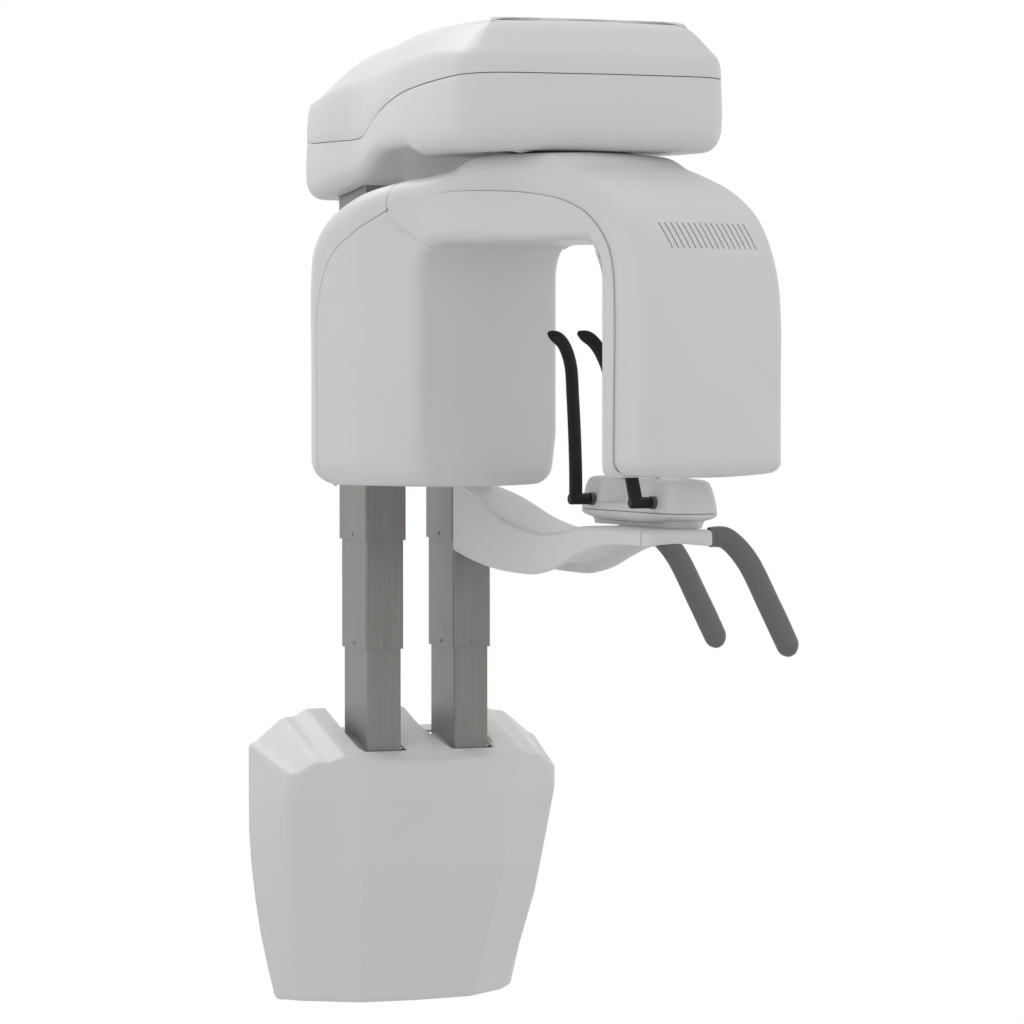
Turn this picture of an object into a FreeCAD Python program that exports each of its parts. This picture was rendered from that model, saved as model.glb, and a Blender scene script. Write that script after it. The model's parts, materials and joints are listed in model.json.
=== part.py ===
"""Wall-hung panoramic X-ray machine: telescopic columns, top housing, C-arm and patient support.

Millimetres, +Z up, +X right seen from the front, the wall is the plane Y = 0 and the room is at -Y.
The origin is the centre of the four wall bolts, at the back face of the wall plate.
The words "rear" and "front" mean nearer to and farther from the wall.
"""
import FreeCAD, Part
import math
import os
import re

import Sketcher

Vec = FreeCAD.Vector

SIZES = [
    # lift columns
    ("column_spacing", 132.0, "between the axes of the two columns"),
    ("column_from_wall", 81.0, "wall to column axis"),
    ("inner_width", 51.0, "fixed stage, along X"),
    ("inner_depth", 85.0, "fixed stage, along Y"),
    ("tube_wall", 2.2, "wall of every column stage"),
    ("tube_gap", 0.5, "running gap between two stages"),
    ("tube_round", 3.0, "outer corner radius of a stage"),
    ("inner_top", 800.0, "top of the fixed stage"),
    ("middle_bottom", 300.0, "middle stage, lower end"),
    ("middle_top", 920.0, "middle stage, upper end"),
    ("outer_bottom", 451.0, "moving stage, lower end"),
    ("outer_top", 1046.0, "moving stage, upper end"),
    # wall plate, column frame and lift drive
    ("plate_width", 340.0, "wall plate along X"),
    ("plate_height", 300.0, "wall plate along Z"),
    ("plate_thickness", 4.0, "wall plate"),
    ("bolt_span", 280.0, "wall bolts, sideways"),
    ("bolt_rise", 200.0, "wall bolts, upwards"),
    ("bolt_hole", 11.0, "wall bolt hole diameter"),
    ("foot_top", -20.0, "seat of the fixed stages"),
    ("foot_thickness", 12.0, "foot plate"),
    ("rod_radius", 11.0, "push rod of the lift actuator"),
    ("rod_gap", 0.3, "push rod in its tube"),
    ("rod_bottom", 236.0, "lower end of the push rod"),
    ("actuator_top", 700.0, "top of the actuator tube"),
    # base cover
    ("base_half_width", 222.0, "half width at the wall, upper part"),
    ("base_bottom", -194.0, "lowest face"),
    ("base_corner_x", 196.0, "front corner from the middle, upper part"),
    ("base_corner_y", 115.0, "front corner from the wall, upper part"),
    ("base_fold_x", 108.0, "upright fold of the front, upper part"),
    ("base_fold_y", 161.0, "upright fold of the front, upper part"),
    ("base_depth", 171.0, "wall to front face, upper part"),
    ("base_crest", 212.0, "highest edge at the wall"),
    ("crest_fall", 0.3975, "fall of the crest towards the room"),
    ("deck_rear", 182.0, "recessed deck at the wall"),
    ("deck_fall", 0.184, "fall of the deck towards the room"),
    ("deck_half", 102.0, "half width of the recessed deck"),
    ("slot_gap", 7.0, "open gap round a column in the deck"),
    ("shell", 3.0, "wall of the moulded covers"),
    ("seam", 0.4, "gap between two covers"),
    ("fit_gap", 0.3, "clearance of a seated piece"),
    # top housing
    ("axis_from_wall", 597.0, "wall to rotation axis"),
    ("housing_length", 700.0, "wall to front face of the top housing"),
    ("housing_rear_half", 132.0, "half width beside the columns"),
    ("housing_front_half", 188.0, "half width round the rotation axis"),
    ("housing_under", 970.0, "underside round the rotation axis"),
    ("housing_top", 1138.0, "highest line"),
    ("beam_half", 60.0, "half width of the head beam"),
    ("beam_height", 32.0, "head beam"),
    ("beam_wall", 4.0, "head beam"),
    ("beam_front", 650.0, "wall to front end of the head beam"),
    # rotation carriage
    ("rail_half_spacing", 62.0, "rotation axis to guide rail"),
    ("rail_width", 12.0, "guide rail"),
    ("rail_height", 10.0, "guide rail"),
    ("rail_half_length", 112.0, "guide rail"),
    ("carriage_thickness", 8.0, "carriage plate"),
    ("bearing_outer", 46.0, "outer radius of the slewing bearing"),
    ("bearing_split", 38.0, "inner radius of its outer ring"),
    ("hub_radius", 30.0, "rotation hub"),
    ("hub_bore", 20.0, "cable way in the hub"),
    ("hub_opening", 55.0, "hole in the lower housing cover"),
    ("pulley_radius", 70.0, "belt pulley on the hub"),
    ("motor_pulley_radius", 12.5, "belt pulley on the motor"),
    ("motor_offset", 110.0, "rotation axis to motor axis"),
    ("belt_thickness", 1.8, "drive belt"),
    # C-arm
    ("rest_turn", 16.0, "C-arm angle at rest, degrees"),
    ("arm_ceiling", 865.0, "inner face of the crown"),
    ("arm_crown", 966.0, "top of the crown"),
    ("tube_inner", 167.0, "axis to inner face of the tube leg"),
    ("tube_outer", 385.0, "axis to outer face of the tube leg"),
    ("tube_bottom", 534.0, "lower end of the tube leg"),
    ("tube_half", 150.0, "half width of the tube leg"),
    ("tube_inner_half", 122.0, "half width of its inner face"),
    ("sensor_inner", 187.0, "axis to inner face of the sensor leg"),
    ("sensor_outer", 285.0, "axis to outer face of the sensor leg"),
    ("sensor_bottom", 557.0, "lower end of the sensor leg"),
    ("sensor_half", 118.0, "half width of the sensor leg"),
    # support arm
    ("arm_left", 35.0, "left face of the support arm"),
    ("arm_right", 97.0, "right face at the column"),
    ("arm_front_right", 126.0, "right face at the front end"),
    ("arm_end", 758.0, "wall to front end"),
    ("arm_plate_top", 484.0, "top of the front plate"),
    # platform, rods and handles
    ("platform_left", 74.0, "patient side of the platform"),
    ("platform_right", 145.0, "far side of the platform"),
    ("platform_half", 145.0, "half length of the platform"),
    ("platform_bottom", 494.0, "underside of the platform"),
    ("platform_seam", 503.0, "seam between tray and body"),
    ("platform_top", 547.0, "top of the platform"),
    ("pivot_half", 92.0, "half distance between the temple rod pivots"),
    ("pivot_height", 517.5, "temple rod pivots"),
    ("pivot_radius", 4.0, "temple rod axle"),
    ("barrel_radius", 7.5, "temple rod barrel"),
    ("barrel_left", 39.0, "free end of the barrel"),
    ("barrel_right", 68.7, "inner end of the barrel"),
    ("rod_tip_height", 737.0, "tip of a temple rod"),
    ("handle_half", 105.0, "half distance between the handles"),
    ("handle_width", 33.0, "handle section, in its bending plane"),
    ("handle_depth", 20.0, "handle section, along Y"),
    # controls
    ("key_travel", 1.5, "height key"),
    ("stop_radius", 16.0, "emergency stop button"),
]

doc = FreeCAD.newDocument("PanoramicXrayMachine")
sheet = doc.addObject("Spreadsheet::Sheet", "Sizes")
for row, (alias, value, note) in enumerate(SIZES, start=1):
    sheet.set("A%d" % row, alias)
    sheet.set("B%d" % row, repr(value))
    sheet.set("C%d" % row, note)
    sheet.setAlias("B%d" % row, alias)
doc.recompute()

ALIASES = [alias for alias, value, note in SIZES]
ALIAS_WORD = re.compile(r"\b(" + "|".join(sorted(ALIASES, key=len, reverse=True)) + r")\b")
PARTS = []


def size(alias):
    """The value of one driving dimension."""
    return float(sheet.get(alias))


def tie(text):
    """An expression on the sheet, from a formula in its alias words."""
    return ALIAS_WORD.sub(lambda found: "Sizes." + found.group(1), str(text))


def bind(obj, prop, formula):
    obj.setExpression(prop, tie(formula))


def put(obj, corner):
    """Tie an object's position to three formulas."""
    for axis, formula in zip("xyz", corner):
        bind(obj, "Placement.Base." + axis, formula)


def keep(obj, node):
    """Name a finished sub-part, which is written to its own file."""
    obj.Label = node
    PARTS.append((node, obj))
    return obj


def block(name, extent, corner):
    box = doc.addObject("Part::Box", name)
    for prop, formula in zip(("Length", "Width", "Height"), extent):
        bind(box, prop, formula)
    put(box, corner)
    return box


TURNS = {
    "z": FreeCAD.Rotation(),
    "x": FreeCAD.Rotation(Vec(0, 1, 0), 90),
    "y": FreeCAD.Rotation(Vec(1, 0, 0), -90),
}


def rod(name, radius, length, base, along="z"):
    """A cylinder that runs from its base along +X, +Y or +Z."""
    cylinder = doc.addObject("Part::Cylinder", name)
    cylinder.Placement = FreeCAD.Placement(Vec(0, 0, 0), TURNS[along])
    bind(cylinder, "Radius", radius)
    bind(cylinder, "Height", length)
    put(cylinder, base)
    return cylinder


def join(name, pieces):
    fused = doc.addObject("Part::MultiFuse", name)
    fused.Shapes = pieces
    fused.Refine = True
    return fused


def cut(name, base, tools):
    """The base less its tools."""
    tool = tools[0] if len(tools) == 1 else join(name + "_tools", tools)
    result = doc.addObject("Part::Cut", name)
    result.Base = base
    result.Tool = tool
    result.Refine = True
    return result


def group(name, pieces):
    """Separate like pieces that share one node."""
    compound = doc.addObject("Part::Compound", name)
    compound.Links = pieces
    return compound


def fixed_shape(name, shape, turned=False):
    """A free-form piece, which only a computed shape can describe."""
    feature = doc.addObject("Part::Feature", name)
    feature.Shape = shape
    if turned:
        feature.Placement = c_arm_placement()
    return feature


def c_arm_placement():
    """From the C-arm's own frame (tube leg at -X, axis at the origin) to its rest place."""
    turn = FreeCAD.Rotation(Vec(0, 0, 1), size("rest_turn") - 90.0)
    return FreeCAD.Placement(Vec(0, -size("axis_from_wall"), 0), turn)


def turn_arm_piece(obj):
    """Tie a C-arm piece, drawn in the C-arm's own frame, to its rest place."""
    obj.Placement = c_arm_placement()
    bind(obj, "Placement.Rotation.Angle", "rest_turn - 90")
    bind(obj, "Placement.Base.y", "-axis_from_wall")
    return obj


# --- PartDesign helpers ---------------------------------------------------------------------

def new_body(name):
    return doc.addObject("PartDesign::Body", name)


def new_sketch(body, name, role):
    sketch = body.newObject("Sketcher::SketchObject", name)
    plane = [item for item in body.Origin.OriginFeatures if item.Role == role][0]
    sketch.AttachmentSupport = [(plane, "")]
    sketch.MapMode = "FlatFace"
    return sketch


def centred_rectangle(sketch, tag, width, height):
    """A rectangle about the sketch's origin, with its two sizes tied to the sheet."""
    corners = [Vec(-10, -10, 0), Vec(10, -10, 0), Vec(10, 10, 0), Vec(-10, 10, 0)]
    first = sketch.GeometryCount
    for index in range(4):
        line = Part.LineSegment(corners[index], corners[(index + 1) % 4])
        sketch.addGeometry(line, False)
    for index in range(4):
        follower = first + (index + 1) % 4
        sketch.addConstraint(Sketcher.Constraint("Coincident", first + index, 2, follower, 1))
    for index, kind in enumerate(("Horizontal", "Vertical", "Horizontal", "Vertical")):
        sketch.addConstraint(Sketcher.Constraint(kind, first + index))
    sketch.addConstraint(Sketcher.Constraint("Symmetric", first, 1, first + 1, 2, -1, 1))
    for suffix, line, kind, formula in (
        ("width", first, "DistanceX", width),
        ("height", first + 1, "DistanceY", height),
    ):
        number = sketch.addConstraint(Sketcher.Constraint(kind, line, 1, line, 2, 20.0))
        sketch.renameConstraint(number, tag + "_" + suffix)
        sketch.setExpression("Constraints." + tag + "_" + suffix, tie(formula))


def circle_at(sketch, tag, diameter, x=None, y=None):
    """A circle at the sketch's origin, or at a place tied to the sheet."""
    number = sketch.addGeometry(Part.Circle(Vec(1, 1, 0), Vec(0, 0, 1), 2.0), False)
    rule = sketch.addConstraint(Sketcher.Constraint("Diameter", number, 4.0))
    sketch.renameConstraint(rule, tag + "_diameter")
    sketch.setExpression("Constraints." + tag + "_diameter", tie(diameter))
    if x is None:
        sketch.addConstraint(Sketcher.Constraint("Coincident", number, 3, -1, 1))
        return
    for suffix, kind, formula in (("x", "DistanceX", x), ("y", "DistanceY", y)):
        rule = sketch.addConstraint(Sketcher.Constraint(kind, -1, 1, number, 3, 1.0))
        sketch.renameConstraint(rule, tag + "_" + suffix)
        sketch.setExpression("Constraints." + tag + "_" + suffix, tie(formula))


def pad(body, sketch, length, name):
    feature = body.newObject("PartDesign::Pad", name)
    feature.Profile = sketch
    bind(feature, "Length", length)
    sketch.Visibility = False
    return feature


def disc_body(name, radii, z_bottom, height, x="0", y="0"):
    """A disc or ring on a vertical axis, padded from one sketch of concentric circles."""
    body = new_body(name)
    sketch = new_sketch(body, name + "_sketch", "XY_Plane")
    for index, radius in enumerate(radii):
        circle_at(sketch, "ring%d" % index, "2 * (%s)" % radius)
    pad(body, sketch, height, name + "_pad")
    put(body, (x, y, z_bottom))
    return body


def round_uprights(body, feature, radius, name):
    """Round the vertical edges of a padded outline."""
    doc.recompute()
    shape = feature.Shape
    box = shape.BoundBox
    names = []
    for index, edge in enumerate(shape.Edges, start=1):
        upright = abs(edge.BoundBox.ZLength - box.ZLength) < 0.01
        middle = edge.CenterOfMass
        outside = abs(abs(middle.x - box.Center.x) - box.XLength / 2.0) < 0.01
        if upright and outside:
            names.append("Edge%d" % index)
    fillet = body.newObject("PartDesign::Fillet", name)
    fillet.Base = (feature, names)
    bind(fillet, "Radius", radius)
    return fillet


# --- lift columns ---------------------------------------------------------------------------

def stage_tubes(node, widen, bottom, top):
    """The pair of like tubes of one column stage; widen adds to the fixed stage's section."""
    pair = []
    for side, sign in (("left", "-"), ("right", "")):
        name = node + "_" + side
        body = new_body(name)
        sketch = new_sketch(body, name + "_sketch", "XY_Plane")
        centred_rectangle(sketch, "outside", "inner_width + " + widen, "inner_depth + " + widen)
        centred_rectangle(
            sketch,
            "inside",
            "inner_width + %s - 2 * tube_wall" % widen,
            "inner_depth + %s - 2 * tube_wall" % widen,
        )
        feature = pad(body, sketch, "%s - (%s)" % (top, bottom), name + "_pad")
        round_uprights(body, feature, "tube_round", name + "_fillet")
        put(body, (sign + "column_spacing / 2", "-column_from_wall", bottom))
        pair.append(body)
    return keep(group(node, pair), node)


def build_columns():
    step = "2 * (tube_wall + tube_gap)"
    stage_tubes("inner_tubes", "0", "foot_top", "inner_top")
    stage_tubes("middle_tubes", step, "middle_bottom", "middle_top")
    stage_tubes("outer_tubes", "2 * " + step, "outer_bottom", "outer_top")


def build_wall_plate():
    body = new_body("wall_plate_body")
    sketch = new_sketch(body, "wall_plate_sketch", "XZ_Plane")
    centred_rectangle(sketch, "outline", "plate_width", "plate_height")
    count = 0
    for x_sign in ("-", ""):
        for z_sign in ("-", ""):
            count += 1
            circle_at(sketch, "bolt%d" % count, "bolt_hole", x_sign + "bolt_span / 2",
                      z_sign + "bolt_rise / 2")
    pad(body, sketch, "plate_thickness", "wall_plate_pad")
    keep(body, "wall_plate")


def build_column_frame():
    """Foot plate, two gussets and the upper clamp bar that carry the columns from the wall plate."""
    reach = "column_from_wall + inner_depth / 2"
    half = "column_spacing / 2 + inner_width / 2"
    foot = block("foot_plate", ("2 * (%s) + 30" % half, reach + " + 4 - plate_thickness", "foot_thickness"),
                 ("-(%s) - 15" % half, "-(%s) - 4" % reach, "foot_top - foot_thickness"))
    gap = "column_from_wall - inner_depth / 2"
    bar = block("clamp_bar", ("2 * (%s)" % half, gap + " - plate_thickness", "30"),
                ("-(%s)" % half, "-(%s)" % gap, "plate_height / 2 - 50"))
    cover_bar = block("cover_bar", ("2 * (base_half_width - shell - 2.7)", "4", "28"),
                      ("-(base_half_width - shell - 2.7)", "-plate_thickness - 4", "64"))
    gussets = [cover_bar]
    for side, x in (("left", "-(%s) - 12" % half), ("right", half + " + 8")):
        gussets.append(block("gusset_" + side, ("4", reach + " - 20", "130"),
                             (x, "-(%s) + 20 - plate_thickness" % reach, "foot_top")))
    holes = []
    for side, sign in (("left", "-"), ("right", "")):
        place = (sign + "column_spacing / 2", "-column_from_wall", "foot_top - foot_thickness - 1")
        holes.append(rod("foot_hole_" + side, "rod_radius + 1", "foot_thickness + 2", place))
    frame = cut("column_frame_cut", join("column_frame_weld", [foot, bar] + gussets), holes)
    keep(frame, "column_frame")


def build_lift_drive():
    """Sealed electric actuators: motor under the foot, tube up the column, push rod out of its top."""
    actuators = []
    rods = []
    for side, sign in (("left", "-"), ("right", "")):
        x = sign + "column_spacing / 2"
        motor = rod("lift_motor_" + side, "24", "36",
                    (x, "-column_from_wall", "foot_top - foot_thickness - 36"))
        neck = rod("lift_neck_" + side, "rod_radius + 0.7", "foot_thickness + 2",
                   (x, "-column_from_wall", "foot_top - foot_thickness - 1"))
        tube = rod("lift_tube_" + side, "rod_radius + 8", "actuator_top - foot_top",
                   (x, "-column_from_wall", "foot_top"))
        bore = rod("lift_bore_" + side, "rod_radius + rod_gap", "actuator_top - foot_top - 9",
                   (x, "-column_from_wall", "foot_top + 10"))
        unit = join("lift_unit_" + side, [motor, neck, tube])
        actuators.append(cut("lift_actuator_" + side, unit, [bore]))
        rods.append(rod("push_rod_" + side, "rod_radius", "outer_top - rod_bottom",
                        (x, "-column_from_wall", "rod_bottom")))
    keep(group("lift_actuator_pair", actuators), "lift_actuators")
    keep(group("push_rod_pair", rods), "push_rods")


# --- lofted shells --------------------------------------------------------------------------

def loft(wires):
    return Part.makeLoft(wires, True, True)


def mirrored_section(half, y):
    """A closed section across X at one Y, from its right half (x, z), bottom to top."""
    right = [Vec(x, y, z) for x, z in half]
    left = [Vec(-x, y, z) for x, z in reversed(half)]
    ring = right + [point for point in left if abs(point.x) > 0.001]
    return Part.makePolygon(ring + [ring[0]])


BASE_LEVELS = [
    # height, then shares of the upper plan: wall half width, corner x and y, fold x and y, front
    (60.0, 1.0, 0.965, 0.96, 0.985, 0.955, 0.955),
    (-26.0, 0.96, 0.893, 0.835, 0.954, 0.851, 0.854),
    (-110.0, 0.914, 0.849, 0.713, 0.917, 0.733, 0.743),
    (-152.0, 0.874, 0.79, 0.643, 0.889, 0.671, 0.678),
    (-181.0, 0.82, 0.735, 0.58, 0.85, 0.62, 0.63),
]


def base_level(height, shares, inset):
    """One horizontal outline of the wall cover; it folds at the corner and again on the front."""
    wall, corner_x, corner_y, fold_x, fold_y, front = shares
    right = [
        (size("base_half_width") * wall - inset * 0.6, inset and 6.0),
        (size("base_corner_x") * corner_x - inset * 0.9, -size("base_corner_y") * corner_y + inset * 0.7),
        (size("base_fold_x") * fold_x, -size("base_fold_y") * fold_y + inset * 1.05),
        (0.0, -size("base_depth") * front + inset),
    ]
    left = [(-x, y) for x, y in reversed(right[:-1])]
    ring = [Vec(x, y, height) for x, y in right + left]
    return Part.makePolygon(ring + [ring[0]])


def base_body(inset):
    """The wall cover as a solid, drawn in by the inset, before its top is shaped."""
    upper = (1.0,) * 6
    levels = [(260.0, upper), (99.0, upper)] + [(row[0], row[1:]) for row in BASE_LEVELS]
    foot = BASE_LEVELS[-1][1:]
    levels.append((size("base_bottom") + inset, tuple(share * 0.93 for share in foot)))
    return Part.makeLoft([base_level(height, shares, inset) for height, shares in levels], True, True)


def space_above(height, fall_x, fall_y, start_x=0.0):
    """Everything above a sloping plane on the right-hand side, and its mirror image."""
    reach = 400.0
    corners = [(start_x, 20.0), (reach, 20.0), (reach, -reach), (start_x, -reach)]
    low = [Vec(x, y, height - fall_x * x + fall_y * y) for x, y in corners]
    high = [Vec(x, y, 500.0) for x, y in corners]
    faces = [Part.Face(Part.makePolygon(ring + [ring[0]])) for ring in (low, high)]
    for first in range(4):
        last = (first + 1) % 4
        ring = [low[first], low[last], high[last], high[first]]
        faces.append(Part.Face(Part.makePolygon(ring + [ring[0]])))
    right = Part.Solid(Part.Shell(faces))
    left = right.mirror(Vec(0, 0, 0), Vec(1, 0, 0))
    return [right, left]


def shape_base_top(solid, drop):
    """Cut the crest, the two sloping shoulders and the recessed deck."""
    crest = size("base_crest") - drop
    fall = size("crest_fall")
    tools = space_above(crest, 0.0, fall)
    tools += space_above(crest + 0.395 * (size("base_half_width") - 90.0), 0.395, fall)
    tools += space_above(crest - 15.0 + 0.904 * (size("base_half_width") - 52.0), 0.904, fall + 0.045)
    for tool in tools:
        solid = solid.cut(tool)
    deck = space_above(size("deck_rear") - drop, 0.0, size("deck_fall"))
    half = size("deck_half") + drop
    for tool in deck:
        solid = solid.cut(tool.common(Part.makeBox(2 * half, 500, 600, Vec(-half, -450, 0))))
    return solid


def upright_block(x, y, width, depth, low, high):
    corner = Vec(x - width / 2.0, y - depth / 2.0, low)
    return Part.makeBox(width, depth, high - low, corner)


def build_base_cover():
    wall = size("shell")
    outer = shape_base_top(base_body(0), 0)
    inner = shape_base_top(base_body(wall), wall)
    cover = outer.cut(inner)
    slot = size("slot_gap")
    for sign in (-1, 1):
        x = sign * size("column_spacing") / 2.0
        cover = cover.cut(upright_block(x, -size("column_from_wall"), size("inner_width") + 2 * slot,
                                        size("inner_depth") + 2 * slot, 60, 300))
    cover = cover.cut(inlet_block(size("fit_gap"))).cut(switch_block(size("fit_gap")))
    cover = cover.cut(stop_collar(size("fit_gap")))
    keep(fixed_shape("base_cover_shell", cover), "base_cover")


def build_column_seals():
    """Dark seals round the columns, just under the deck's slots."""
    seals = []
    for side, sign in (("left", "-"), ("right", "")):
        body = new_body("column_seal_" + side)
        sketch = new_sketch(body, "column_seal_sketch_" + side, "XY_Plane")
        rim = " + 2 * slot_gap + 8"
        centred_rectangle(sketch, "outside", "inner_width" + rim, "inner_depth" + rim)
        centred_rectangle(sketch, "inside", "inner_width + 2 * fit_gap", "inner_depth + 2 * fit_gap")
        pad(body, sketch, "10", "column_seal_pad_" + side)
        put(body, (sign + "column_spacing / 2", "-column_from_wall", "deck_rear - 52"))
        seals.append(body)
    keep(group("column_seal_pair", seals), "column_seals")


# --- base contents and controls -------------------------------------------------------------

INLET = {"x": 0.0, "y": -38.0, "width": 48.0, "depth": 28.0, "height": 27.0}
SWITCH = {"x": 0.0, "y": -67.0, "width": 48.0, "depth": 30.0, "height": 27.0}


def under_block(spec, grow, low_extra):
    low = size("base_bottom") - low_extra
    return upright_block(spec["x"], spec["y"], spec["width"] + 2 * grow, spec["depth"] + 2 * grow,
                         low, size("base_bottom") + spec["height"] + grow)


def inlet_block(grow):
    return under_block(INLET, grow, 1.0)


def switch_block(grow):
    return under_block(SWITCH, grow, 1.0)


def stop_place():
    """Centre of the emergency stop on the right side wall, on the cover's outer face."""
    share = 60.0 / size("base_corner_y")
    x = size("base_half_width") + (size("base_corner_x") - size("base_half_width")) * share
    return Vec(x, -60.0, 100.0)


def stop_collar(grow):
    """The collar of the emergency stop, grown by a clearance for its hole."""
    place = stop_place()
    radius = size("stop_radius") + 4 + grow
    return Part.makeCylinder(radius, 20, Vec(place.x - 13, place.y, place.z), Vec(1, 0, 0))


def build_base_contents():
    keep(block("supply_case", ("58", "66", "110"),
               ("-plate_width / 2", "-plate_thickness - 66", "-50")), "power_supply")
    board = block("board_card", ("56", "1.6", "140"),
                  ("plate_width / 2 - 60", "-plate_thickness - 9.6", "-80"))
    pieces = [board]
    for index, (x, z) in enumerate(((-54, -72), (-10, -72), (-54, 52), (-10, 52))):
        pieces.append(rod("board_post_%d" % index, "3", "8.5",
                          ("plate_width / 2 + %d" % x, "-plate_thickness - 8.5", str(z)), "y"))
    for index, (x, z, width, height, depth) in enumerate(
        ((-56, -60, 26, 40, 22), (-26, -60, 18, 24, 14), (-56, 0, 20, 36, 12), (-32, -10, 24, 26, 5))
    ):
        pieces.append(block("board_chip_%d" % index, (str(width), str(depth), str(height)),
                            ("plate_width / 2 + %d" % x, "-plate_thickness - 9.6 - %d" % depth, str(z))))
    keep(join("lift_board_unit", pieces), "lift_board")


def build_inlet_and_switch():
    low = size("base_bottom")
    inlet = under_block(INLET, 0, 0)
    mouth = upright_block(INLET["x"], INLET["y"], 24.0, 16.0, low - 1, low + 18)
    inlet = inlet.cut(mouth)
    for x, y in ((-7.0, 2.0), (7.0, 2.0), (0.0, -4.0)):
        pin = upright_block(INLET["x"] + x, INLET["y"] + y, 4.0, 2.0, low + 3, low + 20)
        inlet = inlet.fuse(pin)
    case = under_block(SWITCH, 0, 0)
    well = upright_block(SWITCH["x"], SWITCH["y"], 17.0, 25.0, low - 1, low + 15)
    module = inlet.fuse(case.cut(well)).removeSplitter()
    keep(fixed_shape("mains_inlet_module", module), "mains_inlet")
    centre = Vec(SWITCH["x"], SWITCH["y"], low + 6)
    rocker = Part.makeCylinder(6.0, 16.2, Vec(centre.x - 8.1, centre.y, centre.z), Vec(1, 0, 0))
    paddle = Part.makeBox(16.2, 21.0, 4.0, Vec(centre.x - 8.1, centre.y - 10.5, centre.z - 5.0))
    keep(fixed_shape("power_rocker_key", rocker.fuse(paddle).removeSplitter()), "power_rocker")


def build_emergency_stop():
    place = stop_place()
    radius = size("stop_radius")
    bore = Part.makeCylinder(5.3, 60, Vec(place.x - 30, place.y, place.z), Vec(1, 0, 0))
    collar = stop_collar(0).cut(bore)
    keep(fixed_shape("stop_housing_ring", collar), "stop_housing")
    stem = Part.makeCylinder(5.0, 34, Vec(place.x - 20, place.y, place.z), Vec(1, 0, 0))
    cap = Part.makeCylinder(radius, 12, Vec(place.x + 12, place.y, place.z), Vec(1, 0, 0))
    cap = cap.makeFillet(4.0, [edge for edge in cap.Edges if edge.CenterOfMass.x > place.x + 20
                               and edge.BoundBox.XLength < 0.01])
    keep(fixed_shape("stop_button_cap", cap.fuse(stem).removeSplitter()), "stop_button")


def build_base_screws():
    """Hexagon heads of the screws that hold the clamp bar to the wall plate."""
    screws = []
    for x in (-24, 24):
        for rise in (8, 22):
            centre = Vec(x, -size("column_from_wall") + size("inner_depth") / 2.0,
                         size("plate_height") / 2.0 - 50 + rise)
            head = Part.Face(hexagon(centre, 4.6)).extrude(Vec(0, -4, 0))
            screws.append(fixed_shape("base_screw_%d_%d" % (x + 24, rise), head))
    keep(group("base_screw_set", screws), "base_screws")


def hexagon(centre, radius):
    """A hexagon round a point, square to the Y axis."""
    points = []
    for corner in range(7):
        angle = math.radians(60 * corner)
        points.append(centre + Vec(radius * math.cos(angle), 0, radius * math.sin(angle)))
    return Part.makePolygon(points)


# --- top housing ----------------------------------------------------------------------------

def housing_stations():
    """Distance from the wall, half width, underside, seam, shoulder, top half width, top."""
    rear = size("housing_rear_half")
    front = size("housing_front_half")
    under = size("housing_under")
    top = size("housing_top")
    length = size("housing_length")
    return [
        (0.5, rear, under - 47, 1002, top - 78, rear - 22, top - 52),
        (60, rear, under - 40, 1002, top - 72, rear - 26, top - 30),
        (178, rear + 1, under - 21, 1002, top - 62, rear - 24, top - 9),
        (295, rear + 18, under - 12, 1029, top - 56, rear - 12, top - 2),
        (465, front - 10, under - 2, 1054, top - 46, front - 50, top),
        (length - 100, front, under, 1062, top - 44, front - 42, top - 1),
        (length - 27, front - 5, under, 1065, top - 47, front - 52, top - 6),
        (length - 8, front - 22, under + 13, 1066, top - 53, front - 70, top - 13),
        (length, front - 42, under + 32, 1066, top - 62, front - 92, top - 24),
    ]


def housing_loft(lower, inset):
    """One half of the top housing, below or above the seam, drawn in by the inset."""
    half_seam = size("seam") / 2.0
    wires = []
    stations = housing_stations()
    for index, (y, half, under, seam, shoulder, top_half, top) in enumerate(stations):
        if inset and index == 0:
            y += inset
        if inset and index == len(stations) - 1:
            y -= inset
        side = half - inset
        overrun = 6.0 if inset else -half_seam
        if lower:
            ring = [(half - 34, under + inset), (half - 12 - inset * 0.4, under + 8 + inset * 0.4),
                    (side, under + 26), (side, seam + overrun)]
        else:
            ring = [(side, seam - overrun), (side, shoulder - inset * 0.4),
                    ((side + top_half) / 2.0 + 8, (shoulder + top - inset) / 2.0 + 6),
                    (top_half, top - inset)]
        wires.append(mirrored_section(ring, -y))
    return loft(wires)


def column_openings(grow):
    """Clear space for the moving stage of both columns."""
    width = size("inner_width") + 4 * (size("tube_wall") + size("tube_gap")) + 2 * grow
    depth = size("inner_depth") + 4 * (size("tube_wall") + size("tube_gap")) + 2 * grow
    spaces = []
    for sign in (-1, 1):
        x = sign * size("column_spacing") / 2.0
        spaces.append(upright_block(x, -size("column_from_wall"), width, depth, 850, 990))
    return spaces[0].fuse(spaces[1])


def build_housing_covers():
    wall = size("shell")
    lower = housing_loft(True, 0).cut(housing_loft(True, wall))
    lower = lower.cut(column_openings(1.5))
    hub = Part.makeCylinder(size("hub_opening"), 60, Vec(0, -size("axis_from_wall"), 940))
    keep(fixed_shape("lower_cover_shell", lower.cut(hub)), "lower_cover")
    upper = housing_loft(False, 0).cut(housing_loft(False, wall))
    keep(fixed_shape("upper_cover_shell", upper), "upper_cover")


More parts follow.
